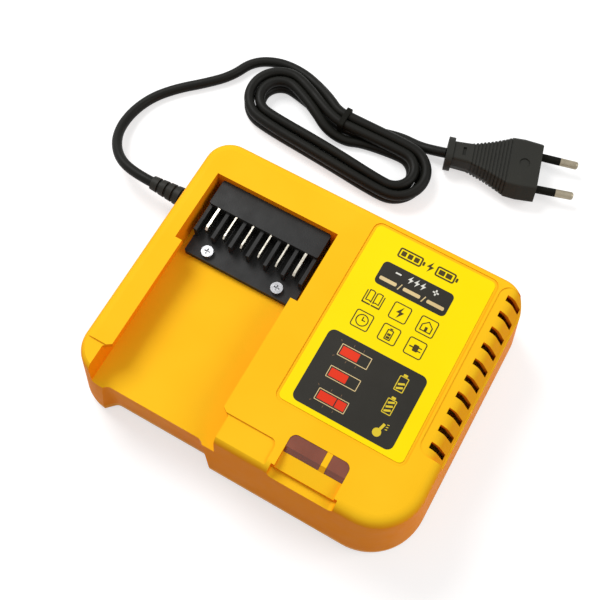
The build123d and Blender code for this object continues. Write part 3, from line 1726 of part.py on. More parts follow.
def pin_plane(side, ahead):
    """Plane across one pin, at a distance ahead of the plug's face."""
    lean = Vector(*plug_side) * (-side * (pin_pitch - pin_tip_pitch) / 2)
    direction = (Vector(*plug_axis) * pin_free_length + lean).normalized()
    root = plug_middle + Vector(*plug_axis) * plug_face_u + Vector(*plug_side) * (side * pin_pitch / 2)
    return Plane(origin=root + direction * ahead, z_dir=direction)


with BuildPart() as groove_cutter:
    for i in range(plug_rib_count):
        with BuildSketch(plug_plane(plug_rib_start + i * plug_rib_pitch)):
            Rectangle(4 * plug_collar_half_width + 2 * beyond, 4 * plug_half_thickness)
        extrude(amount=plug_groove_width)
    add(plug_form(plug_groove_depth), mode=Mode.SUBTRACT)


def plug_pin(side):
    """One pin: a thinner core in the body and the sleeve, a bare end and a rounded tip."""
    with BuildPart() as pin:
        with BuildSketch(pin_plane(side, -pin_root)):
            Circle(pin_core_radius)
        extrude(amount=pin_root + pin_sleeve_length)
        with BuildSketch(pin_plane(side, pin_sleeve_length)):
            Circle(pin_radius)
        extrude(amount=pin_free_length - pin_sleeve_length)
        tip = pin.edges().group_by(Axis(plug_middle, plug_axis))[-1]
        fillet(tip, radius=0.6 * pin_radius)
    return pin.part


pins = [plug_pin(side) for side in (-1, 1)]
with BuildPart() as plug_pins:
    add(pins)
write(plug_pins.part, "plug_pins")

with BuildPart() as plug_pin_sleeves:
    for side in (-1, 1):
        with BuildSketch(pin_plane(side, 0.1)):
            Circle(pin_radius)
            Circle(pin_core_radius, mode=Mode.SUBTRACT)
        extrude(amount=pin_sleeve_length - 0.1)
write(plug_pin_sleeves.part, "plug_pin_sleeves")

with BuildPart() as plug_body:
    add(plug_form(0))
    with BuildSketch(plug_plane(0)):
        RectangleRounded(
            2 * plug_collar_half_width,
            2 * (plug_half_thickness - 0.4),
            plug_half_thickness - 0.6,
        )
    extrude(amount=plug_collar_length)
    add(groove_cutter.part, mode=Mode.SUBTRACT)
    # flex slot through the neck's top, and a thumb dimple
    with BuildSketch(plug_plane(plug_slot_u - plug_slot_length / 2)):
        with Locations((0, plug_half_thickness - plug_slot_depth + beyond)):
            Rectangle(plug_slot_width, 2 * beyond)
    extrude(amount=plug_slot_length, mode=Mode.SUBTRACT)
    dimple_place = plug_middle + Vector(*plug_axis) * plug_dimple_u
    with BuildSketch(Plane.XY.offset(2 * plug_half_thickness - plug_dimple_depth)):
        with Locations((dimple_place.X, dimple_place.Y)):
            Circle(plug_dimple_radius)
    extrude(amount=beyond, mode=Mode.SUBTRACT)
    add(plug_pins.part, mode=Mode.SUBTRACT)
write(plug_body.part, "plug_body")
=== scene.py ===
"""Looks of the battery charger around its CAD frame: camera, cord, finishes, label print and light."""
import math

import bmesh
import bpy
from mathutils import Matrix, Vector


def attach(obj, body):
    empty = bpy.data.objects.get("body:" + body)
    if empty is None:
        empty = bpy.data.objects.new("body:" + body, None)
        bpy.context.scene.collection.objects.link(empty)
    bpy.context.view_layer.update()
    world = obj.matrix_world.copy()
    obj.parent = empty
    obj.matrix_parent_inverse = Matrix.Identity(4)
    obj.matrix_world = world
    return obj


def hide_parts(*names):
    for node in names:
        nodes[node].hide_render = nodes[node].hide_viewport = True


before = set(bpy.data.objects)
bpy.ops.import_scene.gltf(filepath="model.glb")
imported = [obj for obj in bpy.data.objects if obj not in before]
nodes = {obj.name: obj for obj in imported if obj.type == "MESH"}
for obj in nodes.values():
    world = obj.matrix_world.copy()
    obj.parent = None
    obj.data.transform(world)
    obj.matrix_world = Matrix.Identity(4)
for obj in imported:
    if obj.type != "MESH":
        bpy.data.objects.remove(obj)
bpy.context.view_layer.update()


scene = bpy.context.scene
scene.view_settings.view_transform = "Standard"

millimetre = 0.001            # in metres


def mm(*point):
    """Millimetres to metres."""
    return tuple(c * millimetre for c in point)


# ------------------------------------------------------------------ camera
camera_place = Vector(mm(66.04, -129.07, 445.41))
camera_target = Vector(mm(-23.69, 31.82, 0.0))
camera_roll = 0.46            # degrees

camera_data = bpy.data.cameras.new("camera")
camera_data.sensor_fit = "HORIZONTAL"
camera_data.sensor_width = 36.0
camera_data.lens = 59.66
camera_data.shift_x = 0.0145
camera_data.shift_y = -0.0339
camera_data.clip_start = 0.01
camera_data.clip_end = 20.0
camera = bpy.data.objects.new("camera", camera_data)
look = (camera_target - camera_place).to_track_quat("-Z", "Y").to_matrix().to_4x4()
roll = Matrix.Rotation(math.radians(camera_roll), 4, "Z")
camera.matrix_world = Matrix.Translation(camera_place) @ look @ roll
scene.collection.objects.link(camera)
scene.camera = camera

# ------------------------------------------------------------------ cord, in millimetres
cord_diameter = 5.2
lay_z = cord_diameter / 2     # height of the cord's middle where it lies on the floor
lead_points = [
    (-105.05, 38.0, 14.0),
    (-117.5, 38.0, 14.0),
    (-130.0, 43.5, 11.0),
    (-138.8, 55.0, 6.8),
    (-141.0, 69.5, 3.8),
    (-137.3, 83.8, 2.7),
    (-128.5, 95.5, lay_z),
    (-117.5, 105.5, lay_z),
    (-107.6, 116.2, lay_z),
    (-102.4, 129.6, lay_z),
    (-90.0, 136.4, lay_z),
    (-75.5, 136.6, lay_z),
    (-63.0, 131.9, 4.2),
    (-54.0, 126.4, 7.6),
]
tail_points = [
    (-26.6, 123.4, 3.0),
    (-13.6, 127.2, lay_z),
    (-3.1, 126.6, 3.4),
    (4.2, 126.8, 5.4),
    (11.4, 128.0, 6.85),
]

# the hank: each turn runs right along the rear, round the right end, back along the front and
# round the left end, in two layers; the tie holds the rear runs, but for the third turn's
low_layer = lay_z
high_layer = 3 * lay_z
tied_low = 3.4                # the tie lifts the lower layer a little
tie_left = -47.0
tie_right = -37.0
front_middle = -41.0
end_count = 7                 # points round an end
end_step = 32                 # degrees from one to the next
end_swell = 1.0 / math.cos(math.radians(end_step / 2))
right_start = 95              # degrees, the first point round the right end
left_start = 265


def through_tie(y, height):
    """A rear run's two points, at the tie's left and right."""
    return [(tie_left, y, height), (tie_right, y, height)]


def end_points(centre, start, height):
    """Points round one end of the hank, clockwise from an angle."""
    x, y, radius = centre
    reach = radius * end_swell
    found = []
    for i in range(end_count):
        angle = math.radians(start - i * end_step)
        found.append((x + reach * math.cos(angle), y + reach * math.sin(angle), height))
    return found


# the third turn steps down from the upper layer to the lower, in front of the tie
step_down = [
    (tie_left - 11.0, 116.6, 7.6),
    (tie_left - 1.0, 110.8, 5.4),
    (tie_right, 110.8, 2.8),
    (tie_right + 8.0, 114.6, low_layer),
]
# each turn's rear run, right end (x, y, radius), front run's y, left end (x, y, radius), height
turns = [
    (through_tie(122.0, high_layer), (-5.5, 106.8, 14.6), 94.6, (-77.5, 114.2, 15.6), high_layer),
    (through_tie(116.8, high_layer), (-7.0, 106.9, 9.8), 100.8, (-77.0, 114.0, 10.4), high_layer),
    (step_down, (-8.0, 106.9, 9.8), 101.4, (-76.6, 113.6, 10.2), low_layer),
    (through_tie(116.8, tied_low), (-6.8, 106.6, 14.0), 95.4, (-77.9, 113.9, 15.2), low_layer),
]
cord_points = list(lead_points)
for rear_run, right_end, front_y, left_end, height in turns:
    cord_points.extend(rear_run)
    cord_points.extend(end_points(right_end, right_start, height))
    cord_points.append((front_middle, front_y, height))
    cord_points.extend(end_points(left_end, left_start, height))
cord_points.extend(through_tie(122.0, tied_low))
cord_points.extend(tail_points)

cord_curve = bpy.data.curves.new("mains_cord", "CURVE")
cord_curve.dimensions = "3D"
cord_curve.resolution_u = 8
cord_curve.bevel_depth = 1.0  # times each point's radius, so that the curve's own box is true
cord_curve.bevel_resolution = 6
cord_curve.use_fill_caps = True
spline = cord_curve.splines.new("NURBS")
spline.points.add(len(cord_points) - 1)
for point, place in zip(spline.points, cord_points):
    point.co = (*mm(*place), 1.0)
    point.radius = lay_z * millimetre
spline.order_u = 3
spline.use_endpoint_u = True
mains_cord = bpy.data.objects.new("mains_cord", cord_curve)
scene.collection.objects.link(mains_cord)
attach(mains_cord, "root")
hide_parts("cord_lead", "cord_hank", "cord_tail")

# ------------------------------------------------------------------ finishes
# a noise drives its colour or number from its low to its high end over this stretch of values
noise_low = 0.3
noise_high = 0.7
moulded_depth = 0.0002        # metres, relief of a moulded grain
fine_depth = 0.0001           # metres, relief of metal and clear plastic
# sockets of a Mix node that hold colours, which its socket names don't tell apart
mix_first = 6
mix_second = 7
mix_colour = 2


def linear(r, g, b):
    """sRGB 0..255 to linear colour."""
    found = []
    for c in (r, g, b):
        c = c / 255.0
        found.append(c / 12.92 if c <= 0.04045 else ((c + 0.055) / 1.055) ** 2.4)
    return (*found, 1.0)


def new_material(name):
    """A material, its node tree and its principled shader."""
    material = bpy.data.materials.new(name)
    material.use_nodes = True
    tree = material.node_tree
    return material, tree, tree.nodes["Principled BSDF"]


def texture_place(tree):
    """Object coordinates, so that the pattern stays on the piece."""
    return tree.nodes.new("ShaderNodeTexCoord").outputs["Object"]


def noise(tree, place, scale, detail=3.0):
    """Noise at a number of cells per metre."""
    node = tree.nodes.new("ShaderNodeTexNoise")
    node.inputs["Scale"].default_value = scale
    node.inputs["Detail"].default_value = detail
    tree.links.new(place, node.inputs["Vector"])
    return node.outputs["Fac"]


def ramp(tree, value, low, high):
    """Colour that drifts from low to high with a noise."""
    node = tree.nodes.new("ShaderNodeValToRGB")
    first, last = node.color_ramp.elements
    first.position = noise_low
    first.color = linear(*low)
    last.position = noise_high
    last.color = linear(*high)
    tree.links.new(value, node.inputs["Fac"])
    return node.outputs["Color"]


def spread(tree, value, low, high):
    """Number that drifts from low to high with a noise."""
    node = tree.nodes.new("ShaderNodeMapRange")
    node.inputs["From Min"].default_value = noise_low
    node.inputs["From Max"].default_value = noise_high
    node.inputs["To Min"].default_value = low
    node.inputs["To Max"].default_value = high
    tree.links.new(value, node.inputs["Value"])
    return node.outputs["Result"]


def bump(tree, shader, value, strength, distance):
    """Fine relief from a noise."""
    node = tree.nodes.new("ShaderNodeBump")
    node.inputs["Strength"].default_value = strength
    node.inputs["Distance"].default_value = distance
    tree.links.new(value, node.inputs["Height"])
    tree.links.new(node.outputs["Normal"], shader.inputs["Normal"])


def painted_wall_shade(tree, top, side):
    """Painted shade: colour that turns from top to side as the surface turns from level to upright, so
    that the walls carry a darker tone for their shade.
    """
    facing = tree.nodes.new("ShaderNodeSeparateXYZ")
    geometry = tree.nodes.new("ShaderNodeNewGeometry")
    tree.links.new(geometry.outputs["Normal"], facing.inputs["Vector"])
    level = tree.nodes.new("ShaderNodeMapRange")
    level.inputs["From Min"].default_value = 0.15
    level.inputs["From Max"].default_value = 0.85
    tree.links.new(facing.outputs["Z"], level.inputs["Value"])
    tone = tree.nodes.new("ShaderNodeMix")
    tone.data_type = "RGBA"
    tree.links.new(level.outputs["Result"], tone.inputs["Factor"])
    tree.links.new(side, tone.inputs[mix_first])
    tree.links.new(top, tone.inputs[mix_second])
    return tone.outputs[mix_colour]


def moulded(name, low, high, rough, grain, relief, gloss=0.25, side=None):
    """Moulded plastic or rubber: slight colour drift, uneven gloss, a fine grain, and, where side gives
    them,
    painted shade: deeper colours on the walls that stand in for the shade there."""
    material, tree, shader = new_material(name)
    place = texture_place(tree)
    drift = noise(tree, place, 28.0, 2.0)
    tone = ramp(tree, drift, low, high)
    # painted shade: upright faces take the side colours instead of the top colours
    if side:
        tone = painted_wall_shade(tree, tone, ramp(tree, drift, *side))
    tree.links.new(tone, shader.inputs["Base Color"])
    tree.links.new(spread(tree, noise(tree, place, 160.0), *rough), shader.inputs["Roughness"])
    bump(tree, shader, noise(tree, place, grain, 2.0), relief, moulded_depth)
    shader.inputs["Specular IOR Level"].default_value = gloss
    return material


def ink_film(name, low, high, rough=(0.4, 0.5), gloss=0.25):
    """Printed ink, smooth and thin."""
    return moulded(name, low, high, rough, grain=900.0, relief=0.03, gloss=gloss)


def insulation(name, low, high):
    """Sheath of a wire."""
    return moulded(name, low, high, rough=(0.4, 0.5), grain=1500.0, relief=0.1)


def metal(name, low, high, rough=(0.22, 0.34)):
    """Plated or bare metal with faint streaks."""
    material, tree, shader = new_material(name)
    place = texture_place(tree)
    tone = ramp(tree, noise(tree, place, 300.0), low, high)
    tree.links.new(tone, shader.inputs["Base Color"])
    tree.links.new(spread(tree, noise(tree, place, 900.0), *rough), shader.inputs["Roughness"])
    bump(tree, shader, noise(tree, place, 2600.0, 2.0), 0.08, fine_depth)
    shader.inputs["Metallic"].default_value = 1.0
    return material


def tinted(name, low, high, transmission, rough):
    """Clear moulded plastic or glass with a tint."""
    material, tree, shader = new_material(name)
    place = texture_place(tree)
    tone = ramp(tree, noise(tree, place, 90.0, 2.0), low, high)
    tree.links.new(tone, shader.inputs["Base Color"])
    bump(tree, shader, noise(tree, place, 900.0, 2.0), 0.04, fine_depth)
    shader.inputs["Roughness"].default_value = rough
    shader.inputs["IOR"].default_value = 1.49
    shader.inputs["Transmission Weight"].default_value = transmission
    return material


# housing and label
# the side colours here are painted shade: a deeper orange on the housing's walls where shade falls
amber = moulded(
    "amber_plastic", (251, 190, 28), (253, 196, 34), rough=(0.42, 0.52), grain=2200.0, relief=0.10,
    gloss=0.02, side=((252, 143, 10), (254, 149, 15)),
)
# the side colours here are painted shade too: a deeper orange on the base's walls
amber_rim = moulded(
    "amber_rim", (251, 186, 14), (253, 192, 20), rough=(0.42, 0.52), grain=2200.0, relief=0.10,
    gloss=0.10, side=((253, 165, 36), (255, 171, 42)),
)
label_yellow = moulded(
    "label_film", (250, 222, 0), (253, 227, 2), rough=(0.38, 0.46), grain=900.0, relief=0.04, gloss=0.1,
)
plate_film = moulded(
    "plate_film", (196, 196, 192), (206, 206, 202), rough=(0.4, 0.5), grain=900.0, relief=0.04,
)
lens_smoke = tinted("lens_smoke", (146, 74, 50), (162, 86, 60), 0.35, rough=0.14)
foot_rubber = moulded(
    "foot_rubber", (34, 34, 33), (42, 42, 40), rough=(0.75, 0.9), grain=1800.0, relief=0.3,
)

# inks of the label
print_black = ink_film("print_black", (36, 34, 28), (42, 39, 33), rough=(0.36, 0.46), gloss=0.2)
print_brown = ink_film("print_brown", (62, 48, 6), (74, 58, 10), rough=(0.35, 0.45))
print_red = ink_film("print_red", (222, 52, 26), (230, 60, 32), rough=(0.36, 0.46), gloss=0.15)
print_dim = ink_film("print_dim", (104, 80, 56), (118, 92, 66))
print_cream = ink_film("print_cream", (205, 180, 128), (222, 198, 146))
print_yellow = ink_film("print_yellow", (216, 190, 40), (228, 202, 52))
print_white = ink_film("print_white", (214, 212, 202), (226, 224, 214))

# cord and plug
cord_rubber = moulded(
    "cord_sheath", (14, 14, 11), (20, 20, 16), rough=(0.42, 0.55), grain=1500.0, relief=0.18, gloss=0.13,
)
plug_rubber = moulded(
    "plug_rubber", (31, 31, 27), (38, 38, 33), rough=(0.48, 0.62), grain=1300.0, relief=0.25, gloss=0.2,
)
sleeve_black = moulded(
    "sleeve_black", (13, 13, 9), (18, 18, 13), rough=(0.55, 0.7), grain=1500.0, relief=0.1, gloss=0.08,
)
pin_nickel = metal("pin_nickel", (146, 137, 118), (164, 154, 134), rough=(0.26, 0.38))

# dock, screws and electronics
black_plastic = moulded(
    "black_plastic", (26, 26, 26), (33, 33, 32), rough=(0.45, 0.6), grain=1600.0, relief=0.25,
)
screw_steel = metal("screw_steel", (150, 150, 152), (178, 178, 180))
contact_nickel = metal("contact_nickel", (180, 174, 160), (205, 200, 188), rough=(0.18, 0.30))
sink_metal = metal("sink_metal", (176, 178, 182), (200, 202, 205), rough=(0.35, 0.5))
copper = metal("copper_wire", (160, 86, 46), (190, 108, 62), rough=(0.3, 0.42))
lamp_clear = tinted("lamp_clear", (196, 60, 40), (210, 80, 60), 0.5, rough=0.15)
fuse_glass = tinted("fuse_glass", (220, 228, 226), (235, 240, 238), 0.8, rough=0.05)
board_green = moulded(
    "solder_mask", (18, 74, 36), (26, 88, 44), rough=(0.25, 0.4), grain=700.0, relief=0.1,
)
case_black = moulded(
    "epoxy_case", (28, 28, 29), (36, 36, 37), rough=(0.5, 0.65), grain=1800.0, relief=0.3,
)
can_blue = moulded(
    "can_sleeve", (26, 32, 74), (34, 40, 86), rough=(0.25, 0.35), grain=600.0, relief=0.05,
)
disc_blue = moulded(
    "disc_blue", (30, 66, 140), (40, 78, 156), rough=(0.3, 0.45), grain=500.0, relief=0.1,
)
disc_green = moulded(
    "disc_green", (36, 80, 48), (46, 94, 58), rough=(0.3, 0.45), grain=500.0, relief=0.1,
)
box_yellow = moulded(
    "box_yellow", (206, 168, 44), (220, 182, 56), rough=(0.4, 0.5), grain=1200.0, relief=0.1,
)
ferrite = moulded(
    "ferrite", (52, 52, 54), (66, 66, 68), rough=(0.6, 0.8), grain=1800.0, relief=0.35,
)
nylon = moulded(
    "nylon_white", (214, 210, 196), (226, 222, 208), rough=(0.4, 0.55), grain=1200.0, relief=0.12,
)
tape = moulded(
    "winding_tape", (214, 186, 58), (230, 202, 74), rough=(0.3, 0.4), grain=400.0, relief=0.08,
)
wire_brown = insulation("wire_brown", (84, 46, 24), (98, 56, 30))
wire_red = insulation("wire_red", (150, 20, 18), (168, 28, 24))
wire_white = insulation("wire_white", (206, 206, 202), (220, 220, 216))

node_materials = {
    "top_housing": amber,
    "base_housing": amber_rim,
    "label_plate": label_yellow,
    "blank_rating_plate": plate_film,
    "rubber_feet": foot_rubber,
    "housing_screws": screw_steel,
    "terminal_block": black_plastic,
    "terminal_block_screws": screw_steel,
    "power_terminals": contact_nickel,
    "signal_terminals": contact_nickel,
    "indicator_lens": lens_smoke,
    "indicator_board": board_green,
    "indicator_board_screws": screw_steel,
    "indicator_lamps": lamp_clear,
    "indicator_wires": wire_white,
    "main_board": board_green,
    "board_screws": screw_steel,
    "input_capacitor": can_blue,
    "output_capacitors": can_blue,
    "transformer_core": ferrite,
    "transformer_bobbin": nylon,
    "transformer_winding": tape,
    "primary_heatsink": sink_metal,
    "secondary_heatsink": sink_metal,
    "switching_transistor": case_black,
    "output_rectifier": case_black,
    "heatsink_screws": screw_steel,
    "mains_fuse": fuse_glass,
    "fuse_clips": contact_nickel,
    "surge_varistor": disc_blue,
    "inrush_thermistor": disc_green,
    "safety_capacitor": disc_blue,
    "filter_capacitor": box_yellow,
    "bridge_rectifier": case_black,
    "filter_choke_core": ferrite,
    "filter_choke_windings": copper,
    "output_inductor_core": ferrite,
    "output_inductor_winding": copper,
    "controller_chip": case_black,
    "optocoupler": nylon,
    "mains_input_connector": nylon,
    "output_connector": nylon,
    "mains_wires": wire_brown,
    "output_wires": wire_red,
    "signal_wires": wire_white,
    "cord_strain_relief": plug_rubber,
    "cord_inner_end": cord_rubber,
    "cord_clamp": black_plastic,
    "cord_clamp_screws": screw_steel,
    "cord_tie": sleeve_black,
    "plug_body": plug_rubber,
    "plug_pins": pin_nickel,
    "plug_pin_sleeves": sleeve_black,
}
for node_name, material in node_materials.items():
    node = nodes[node_name]
    node.data.materials.clear()
    node.data.materials.append(material)
mains_cord.data.materials.append(cord_rubber)


# ------------------------------------------------------------------ loops of the label print, in mm
def placed(loop, x, y, across=1.0, up=1.0):
    """A loop moved to a point and stretched or mirrored about it."""
    return [(x + across * px, y + up * py) for px, py in loop]


def rounded(x0, y0, x1, y1, radius, steps=5):
    """Closed loop of a rounded rectangle."""
    loop = []
    for cx, cy, start in (
        (x1 - radius, y0 + radius, -90),
        (x1 - radius, y1 - radius, 0),
        (x0 + radius, y1 - radius, 90),
        (x0 + radius, y0 + radius, 180),
    ):
        for i in range(steps + 1):
            angle = math.radians(start + 90 * i / steps)
            loop.append((cx + radius * math.cos(angle), cy + radius * math.sin(angle)))
    return loop


def ring(x0, y0, x1, y1, radius, width):
    """A rounded frame: its outer and inner loops."""
    inner_radius = max(radius - width, 0.05)
    return [
        rounded(x0, y0, x1, y1, radius),
        rounded(x0 + width, y0 + width, x1 - width, y1 - width, inner_radius),
    ]


def disc(x, y, radius, steps=20):
    """Closed loop of a circle."""
    angles = [2 * math.pi * i / steps for i in range(steps)]
    return [(x + radius * math.cos(angle), y + radius * math.sin(angle)) for angle in angles]


def stroke(a, b, width):
    """Closed loop of a straight stroke from a to b."""
    ax, ay = a
    bx, by = b
    length = math.hypot(bx - ax, by - ay)
    nx = -(by - ay) / length * width / 2
    ny = (bx - ax) / length * width / 2
    return [(ax + nx, ay + ny), (ax - nx, ay - ny), (bx - nx, by - ny), (bx + nx, by + ny)]


def bolt(x, y, size):
    """Closed loop of a lightning bolt about a centre."""
    shape = [(0.12, 0.5), (-0.3, -0.06), (-0.03, -0.06), (-0.12, -0.5), (0.3, 0.08), (0.03, 0.08)]
    return placed(shape, x, y, size, size)


# ------------------------------------------------------------------ small pictograms about a centre
def book_icon(x, y):
    """An open book: two leaves, each an outline and its hole, and the cover's edges."""
    leaf = [(0.25, -2.3), (0.25, 3.1), (1.4, 3.7), (3.3, 3.5), (3.3, -2.0), (1.5, -1.7)]
    page = [(0.75, -1.5), (0.75, 2.8), (1.5, 3.2), (2.8, 3.05), (2.8, -1.5), (1.5, -1.2)]
    shapes = []
    for side in (-1, 1):
        shapes.append([placed(leaf, x, y, side), placed(page, x, y, side)])
        shapes.append([stroke((x + side * 4.1, y + 2.9), (x + side * 4.1, y - 3.2), 0.5)])
        shapes.append([stroke((x + side * 4.3, y - 3.2), (x + side * 0.2, y - 3.2), 0.7)])
    return shapes


def bolt_icon(x, y):
    """A single bolt."""
    return [[bolt(x, y, 6.0)]]


def house_icon(x, y):
    """A house's outline with a door."""
    walls = [(-2.6, -2.6), (2.6, -2.6), (2.6, 0.4), (0.0, 2.7), (-2.6, 0.4)]
    room = [(-2.1, -2.1), (2.1, -2.1), (2.1, 0.2), (0.0, 2.05), (-2.1, 0.2)]
    return [
        [placed(walls, x, y), placed(room, x, y)],
        [rounded(x - 0.6, y - 2.2, x + 0.6, y - 0.2, 0.1)],
    ]


def clock_icon(x, y):
    """A clock's rim and two hands."""
    return [
        [disc(x, y, 2.9), disc(x, y, 2.4)],
        [stroke((x, y - 0.2), (x, y + 1.8), 0.5)],
        [stroke((x - 0.2, y), (x + 1.4, y), 0.5)],
    ]


def battery_icon(x, y):
    """An upright battery with its knob and two cells."""
    return [
        ring(x - 1.5, y - 2.8, x + 1.5, y + 2.2, 0.4, 0.5),
        [rounded(x - 0.7, y + 2.3, x + 0.7, y + 2.9, 0.15)],
        [rounded(x - 0.8, y - 2.1, x + 0.8, y - 1.0, 0.1)],
        [rounded(x - 0.8, y - 0.7, x + 0.8, y + 0.4, 0.1)],
    ]


def plug_icon(x, y):
    """A plug on its side, with its lead and two pins."""
    shapes = [
        [rounded(x - 1.0, y - 1.6, x + 1.4, y + 1.6, 0.5)],
        [stroke((x - 2.8, y), (x - 0.9, y), 0.6)],
    ]
    for side in (-1, 1):
        shapes.append([stroke((x + 1.3, y + side * 0.8), (x + 2.8, y + side * 0.8), 0.5)])
    return shapes


# ------------------------------------------------------------------ label print
def top_of(node):
    """Height of a CAD piece's top, in millimetres."""
    return max((node.matrix_world @ Vector(corner)).z for corner in node.bound_box) / millimetre


ink = 0.03                    # thickness of one layer of ink
label_top = top_of(nodes["label_plate"])
mark_level = label_top + ink


def flat_mesh(loops, low, thickness):
    """Mesh of one flat shape, whose inner loops are holes."""
    curve = bpy.data.curves.new("shape", "CURVE")
    curve.dimensions = "2D"
    curve.fill_mode = "BOTH"
    curve.extrude = thickness / 2 * millimetre
    for loop in loops:
        line = curve.splines.new("POLY")
        line.points.add(len(loop) - 1)
        for point, (x, y) in zip(line.points, loop):
            point.co = (x * millimetre, y * millimetre, 0.0, 1.0)
        line.use_cyclic_u = True
    carrier = bpy.data.objects.new("shape", curve)
    scene.collection.objects.link(carrier)
    bpy.context.view_layer.update()
    flat = bpy.data.meshes.new_from_object(carrier)
    flat.transform(Matrix.Translation((0, 0, (low + thickness / 2) * millimetre)))
    bpy.data.objects.remove(carrier)
    bpy.data.curves.remove(curve)
    return flat


def printed(name, shapes, low, material):
    """One piece of ink made of flat shapes that lie on a level."""
    body = bmesh.new()
    for loops in shapes:
        flat = flat_mesh(loops, low, ink)
        body.from_mesh(flat)
        bpy.data.meshes.remove(flat)
    mesh = bpy.data.meshes.new(name)
    body.to_mesh(mesh)
    body.free()
    piece = bpy.data.objects.new(name, mesh)
    scene.collection.objects.link(piece)
    piece.data.materials.append(material)
    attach(piece, "root")


# dark fields: title box and display panel
title_box = rounded(16.9, 31.8, 51.0, 43.5, 2.2)
display_panel = rounded(11.3, -31.0, 57.9, 4.4, 3.0)
printed("label_dark_fields", [[title_box], [display_panel]], label_top, print_black)

# head line: a battery with its cells, a bolt and a second battery, in place of lettering
brown_shapes = [
    ring(20.2, 47.6, 31.6, 52.6, 1.0, 0.75),
    [rounded(31.9, 49.1, 32.9, 51.1, 0.3)],
    [bolt(35.6, 50.1, 5.6)],
    ring(38.4, 47.6, 47.6, 52.6, 1.0, 0.75),
    [rounded(47.9, 49.1, 48.9, 51.1, 0.3)],
]
for first_x, cells, pitch, width in ((21.6, 3, 3.1, 2.3), (39.8, 2, 3.4, 2.8)):
    for i in range(cells):
        cell_x = first_x + pitch * i
        brown_shapes.append([rounded(cell_x, 48.9, cell_x + width, 51.3, 0.3)])

# six pictograms: an open book, and five in frames
icon_half = 4.2
icon_corner = 1.2
icon_stroke = 0.5
framed_icons = [
    (bolt_icon, 33.8, 24.6),
    (house_icon, 46.7, 24.6),
    (clock_icon, 21.2, 13.6),
    (battery_icon, 34.2, 13.6),
    (plug_icon, 46.6, 13.6),
]
brown_shapes.extend(book_icon(21.0, 24.7))
for icon, x, y in framed_icons:
    brown_shapes.append(
        ring(x - icon_half, y - icon_half, x + icon_half, y + icon_half, icon_corner, icon_stroke)
    )
    brown_shapes.extend(icon(x, y))
printed("label_brown_marks", brown_shapes, label_top, print_brown)

# title box: minus, bolts and plus over three bars parted by slashes
title_shapes = [
    [stroke((23.6, 40.4), (26.4, 40.4), 0.7)],
    [bolt(31.0, 40.3, 4.2)],
    [bolt(34.0, 40.3, 4.2)],
    [bolt(37.0, 40.3, 4.2)],
    [stroke((41.6, 40.4), (44.4, 40.4), 0.7)],
    [stroke((43.0, 39.0), (43.0, 41.8), 0.7)],
]
printed("label_title_marks", title_shapes, mark_level, print_white)
cream_shapes = []
for x0, x1 in ((18.4, 26.6), (29.8, 38.0), (41.2, 49.4)):
    cream_shapes.append([rounded(x0, 34.3, x1, 36.0, 0.6)])
for x in (28.2, 39.6):
    cream_shapes.append([stroke((x - 0.5, 33.6), (x + 0.5, 36.7), 0.45)])

# charge bars on the panel: box, where the red fill ends, whether it has rays, whether it is full
charge_bars = [
    ((19.0, -5.2, 33.2, 0.5), 28.0, True, False),
    ((19.3, -15.8, 33.6, -10.3), 28.2, False, False),
    ((19.8, -26.7, 33.9, -21.2), 28.4, True, True),
]
ray_width = 0.28
red_shapes = []
ray_shapes = []
for (x0, y0, x1, y1), fill_to, has_rays, full in charge_bars:
    cream_shapes.append(ring(x0, y0, x1, y1, 0.35, 0.35))
    red_shapes.append([rounded(x0 + 0.9, y0 + 0.85, fill_to, y1 - 0.85, 0.2)])
    if full:
        red_shapes.append([rounded(fill_to + 0.5, y0 + 0.85, x1 - 0.7, y1 - 0.85, 0.2)])
    if has_rays:
        for edge_y, out in ((y1, 1), (y0, -1)):
            for x in (x0 + 5.0, x0 + 9.6):
                ray_shapes.append([stroke((x, edge_y + out * 0.7), (x, edge_y + out * 1.7), ray_width)])
            corner_start = (x0 - 0.6, edge_y + out * 0.6)
            corner_end = (x0 - 1.3, edge_y + out * 1.3)
            ray_shapes.append([stroke(corner_start, corner_end, ray_width)])
printed("label_cream_lines", cream_shapes, mark_level, print_cream)
printed("label_faint_rays", ray_shapes, mark_level, print_dim)
printed("label_red_bars", red_shapes, mark_level, print_red)

# battery signs with slanted stripes, and a thermometer, on the panel's right
sign_shapes = []
for sign_y, stripes in ((-6.9, 2), (-17.9, 3)):
    sign_shapes.append(ring(46.6, sign_y, 50.9, sign_y + 7.0, 0.5, 0.4))
    sign_shapes.append([rounded(47.8, sign_y + 7.1, 49.7, sign_y + 8.2, 0.3)])
    for i in range(stripes):
        stripe_y = sign_y + 1.5 + 1.9 * i
        sign_shapes.append([stroke((47.4, stripe_y - 0.45), (50.1, stripe_y + 0.75), 0.9)])
sign_shapes.append([disc(49.2, -26.4, 1.9)])
sign_shapes.append([stroke((49.75, -24.65), (50.6, -21.8), 1.2)])
for i in range(3):
    mark_y = -21.6 - 1.1 * i
    sign_shapes.append([stroke((51.6, mark_y), (52.6, mark_y + 0.2), 0.35)])
printed("label_yellow_signs", sign_shapes, mark_level, print_yellow)

# ------------------------------------------------------------------ stage and light, in metres
white = (1.0, 1.0, 1.0, 1.0)
floor_half = 3.0
floor_drop = 0.00002          # keeps the floor just clear of the feet
floor_tone = 0.55             # share of the light that the floor gives back
floor_glow = 0.60             # added where the floor is seen, so that it looks white
world_light = 0.42            # what the world lends to the object


def seen_directly(tree):
    """1 for rays from the camera, off gloss and through glass, 0 for the light on things."""
    rays = tree.nodes.new("ShaderNodeLightPath")
    total = rays.outputs["Is Camera Ray"]
    for name in ("Is Glossy Ray", "Is Transmission Ray"):
        add = tree.nodes.new("ShaderNodeMath")
        add.operation = "MAXIMUM"
        tree.links.new(total, add.inputs[0])
        tree.links.new(rays.outputs[name], add.inputs[1])
        total = add.outputs[0]
    return total


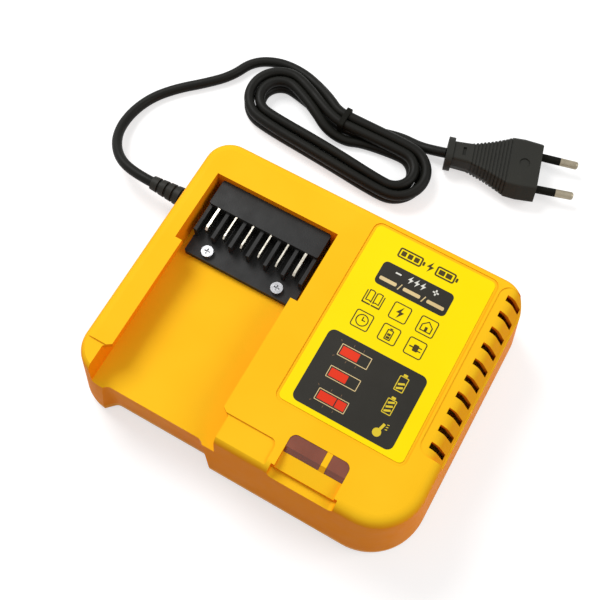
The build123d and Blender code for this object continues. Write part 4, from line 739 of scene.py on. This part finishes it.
def floor_material():
    """White floor that keeps the object's shadow."""
    material, tree, shader = new_material("floor_white")
    shader.inputs["Base Color"].default_value = (floor_tone, floor_tone, floor_tone, 1.0)
    shader.inputs["Roughness"].default_value = 0.95
    shader.inputs["Specular IOR Level"].default_value = 0.0
    emission = tree.nodes.new("ShaderNodeEmission")
    emission.inputs["Color"].default_value = white
    emission.inputs["Strength"].default_value = floor_glow
    both = tree.nodes.new("ShaderNodeAddShader")
    mix = tree.nodes.new("ShaderNodeMixShader")
    output = tree.nodes["Material Output"]
    tree.links.new(shader.outputs["BSDF"], both.inputs[0])
    tree.links.new(emission.outputs["Emission"], both.inputs[1])
    tree.links.new(seen_directly(tree), mix.inputs["Fac"])
    tree.links.new(shader.outputs["BSDF"], mix.inputs[1])
    tree.links.new(both.outputs["Shader"], mix.inputs[2])
    tree.links.new(mix.outputs["Shader"], output.inputs["Surface"])
    return material


def lay_floor():
    """Square floor under the object."""
    far = floor_half
    mesh = bpy.data.meshes.new("floor")
    mesh.from_pydata([(-far, -far, 0), (far, -far, 0), (far, far, 0), (-far, far, 0)], [], [(0, 1, 2, 3)])
    floor = bpy.data.objects.new("floor", mesh)
    floor.location = (0, 0, -floor_drop)
    scene.collection.objects.link(floor)
    floor.data.materials.append(floor_material())


def light_world():
    """World that looks white and lends a softer light."""
    world = bpy.data.worlds.new("studio")
    scene.world = world
    world.use_nodes = True
    tree = world.node_tree
    lent = tree.nodes["Background"]
    lent.inputs["Color"].default_value = white
    lent.inputs["Strength"].default_value = world_light
    seen = tree.nodes.new("ShaderNodeBackground")
    seen.inputs["Color"].default_value = white
    seen.inputs["Strength"].default_value = 1.0
    mix = tree.nodes.new("ShaderNodeMixShader")
    tree.links.new(seen_directly(tree), mix.inputs["Fac"])
    tree.links.new(lent.outputs["Background"], mix.inputs[1])
    tree.links.new(seen.outputs["Background"], mix.inputs[2])
    tree.links.new(mix.outputs["Shader"], tree.nodes["World Output"].inputs["Surface"])


def softbox(name, place, power, size=0.5):
    """Square area light aimed at the origin."""
    data = bpy.data.lights.new(name, "AREA")
    data.shape = "SQUARE"
    data.size = size
    data.energy = power
    lamp = bpy.data.objects.new(name, data)
    lamp.location = place
    lamp.rotation_euler = (-Vector(place)).to_track_quat("-Z", "Y").to_euler()
    scene.collection.objects.link(lamp)


lay_floor()
light_world()
softbox("key", (-0.65, 0.30, 0.85), power=8.0)
softbox("fill", (0.75, 0.30, 0.70), power=3.0)

bpy.context.view_layer.update()
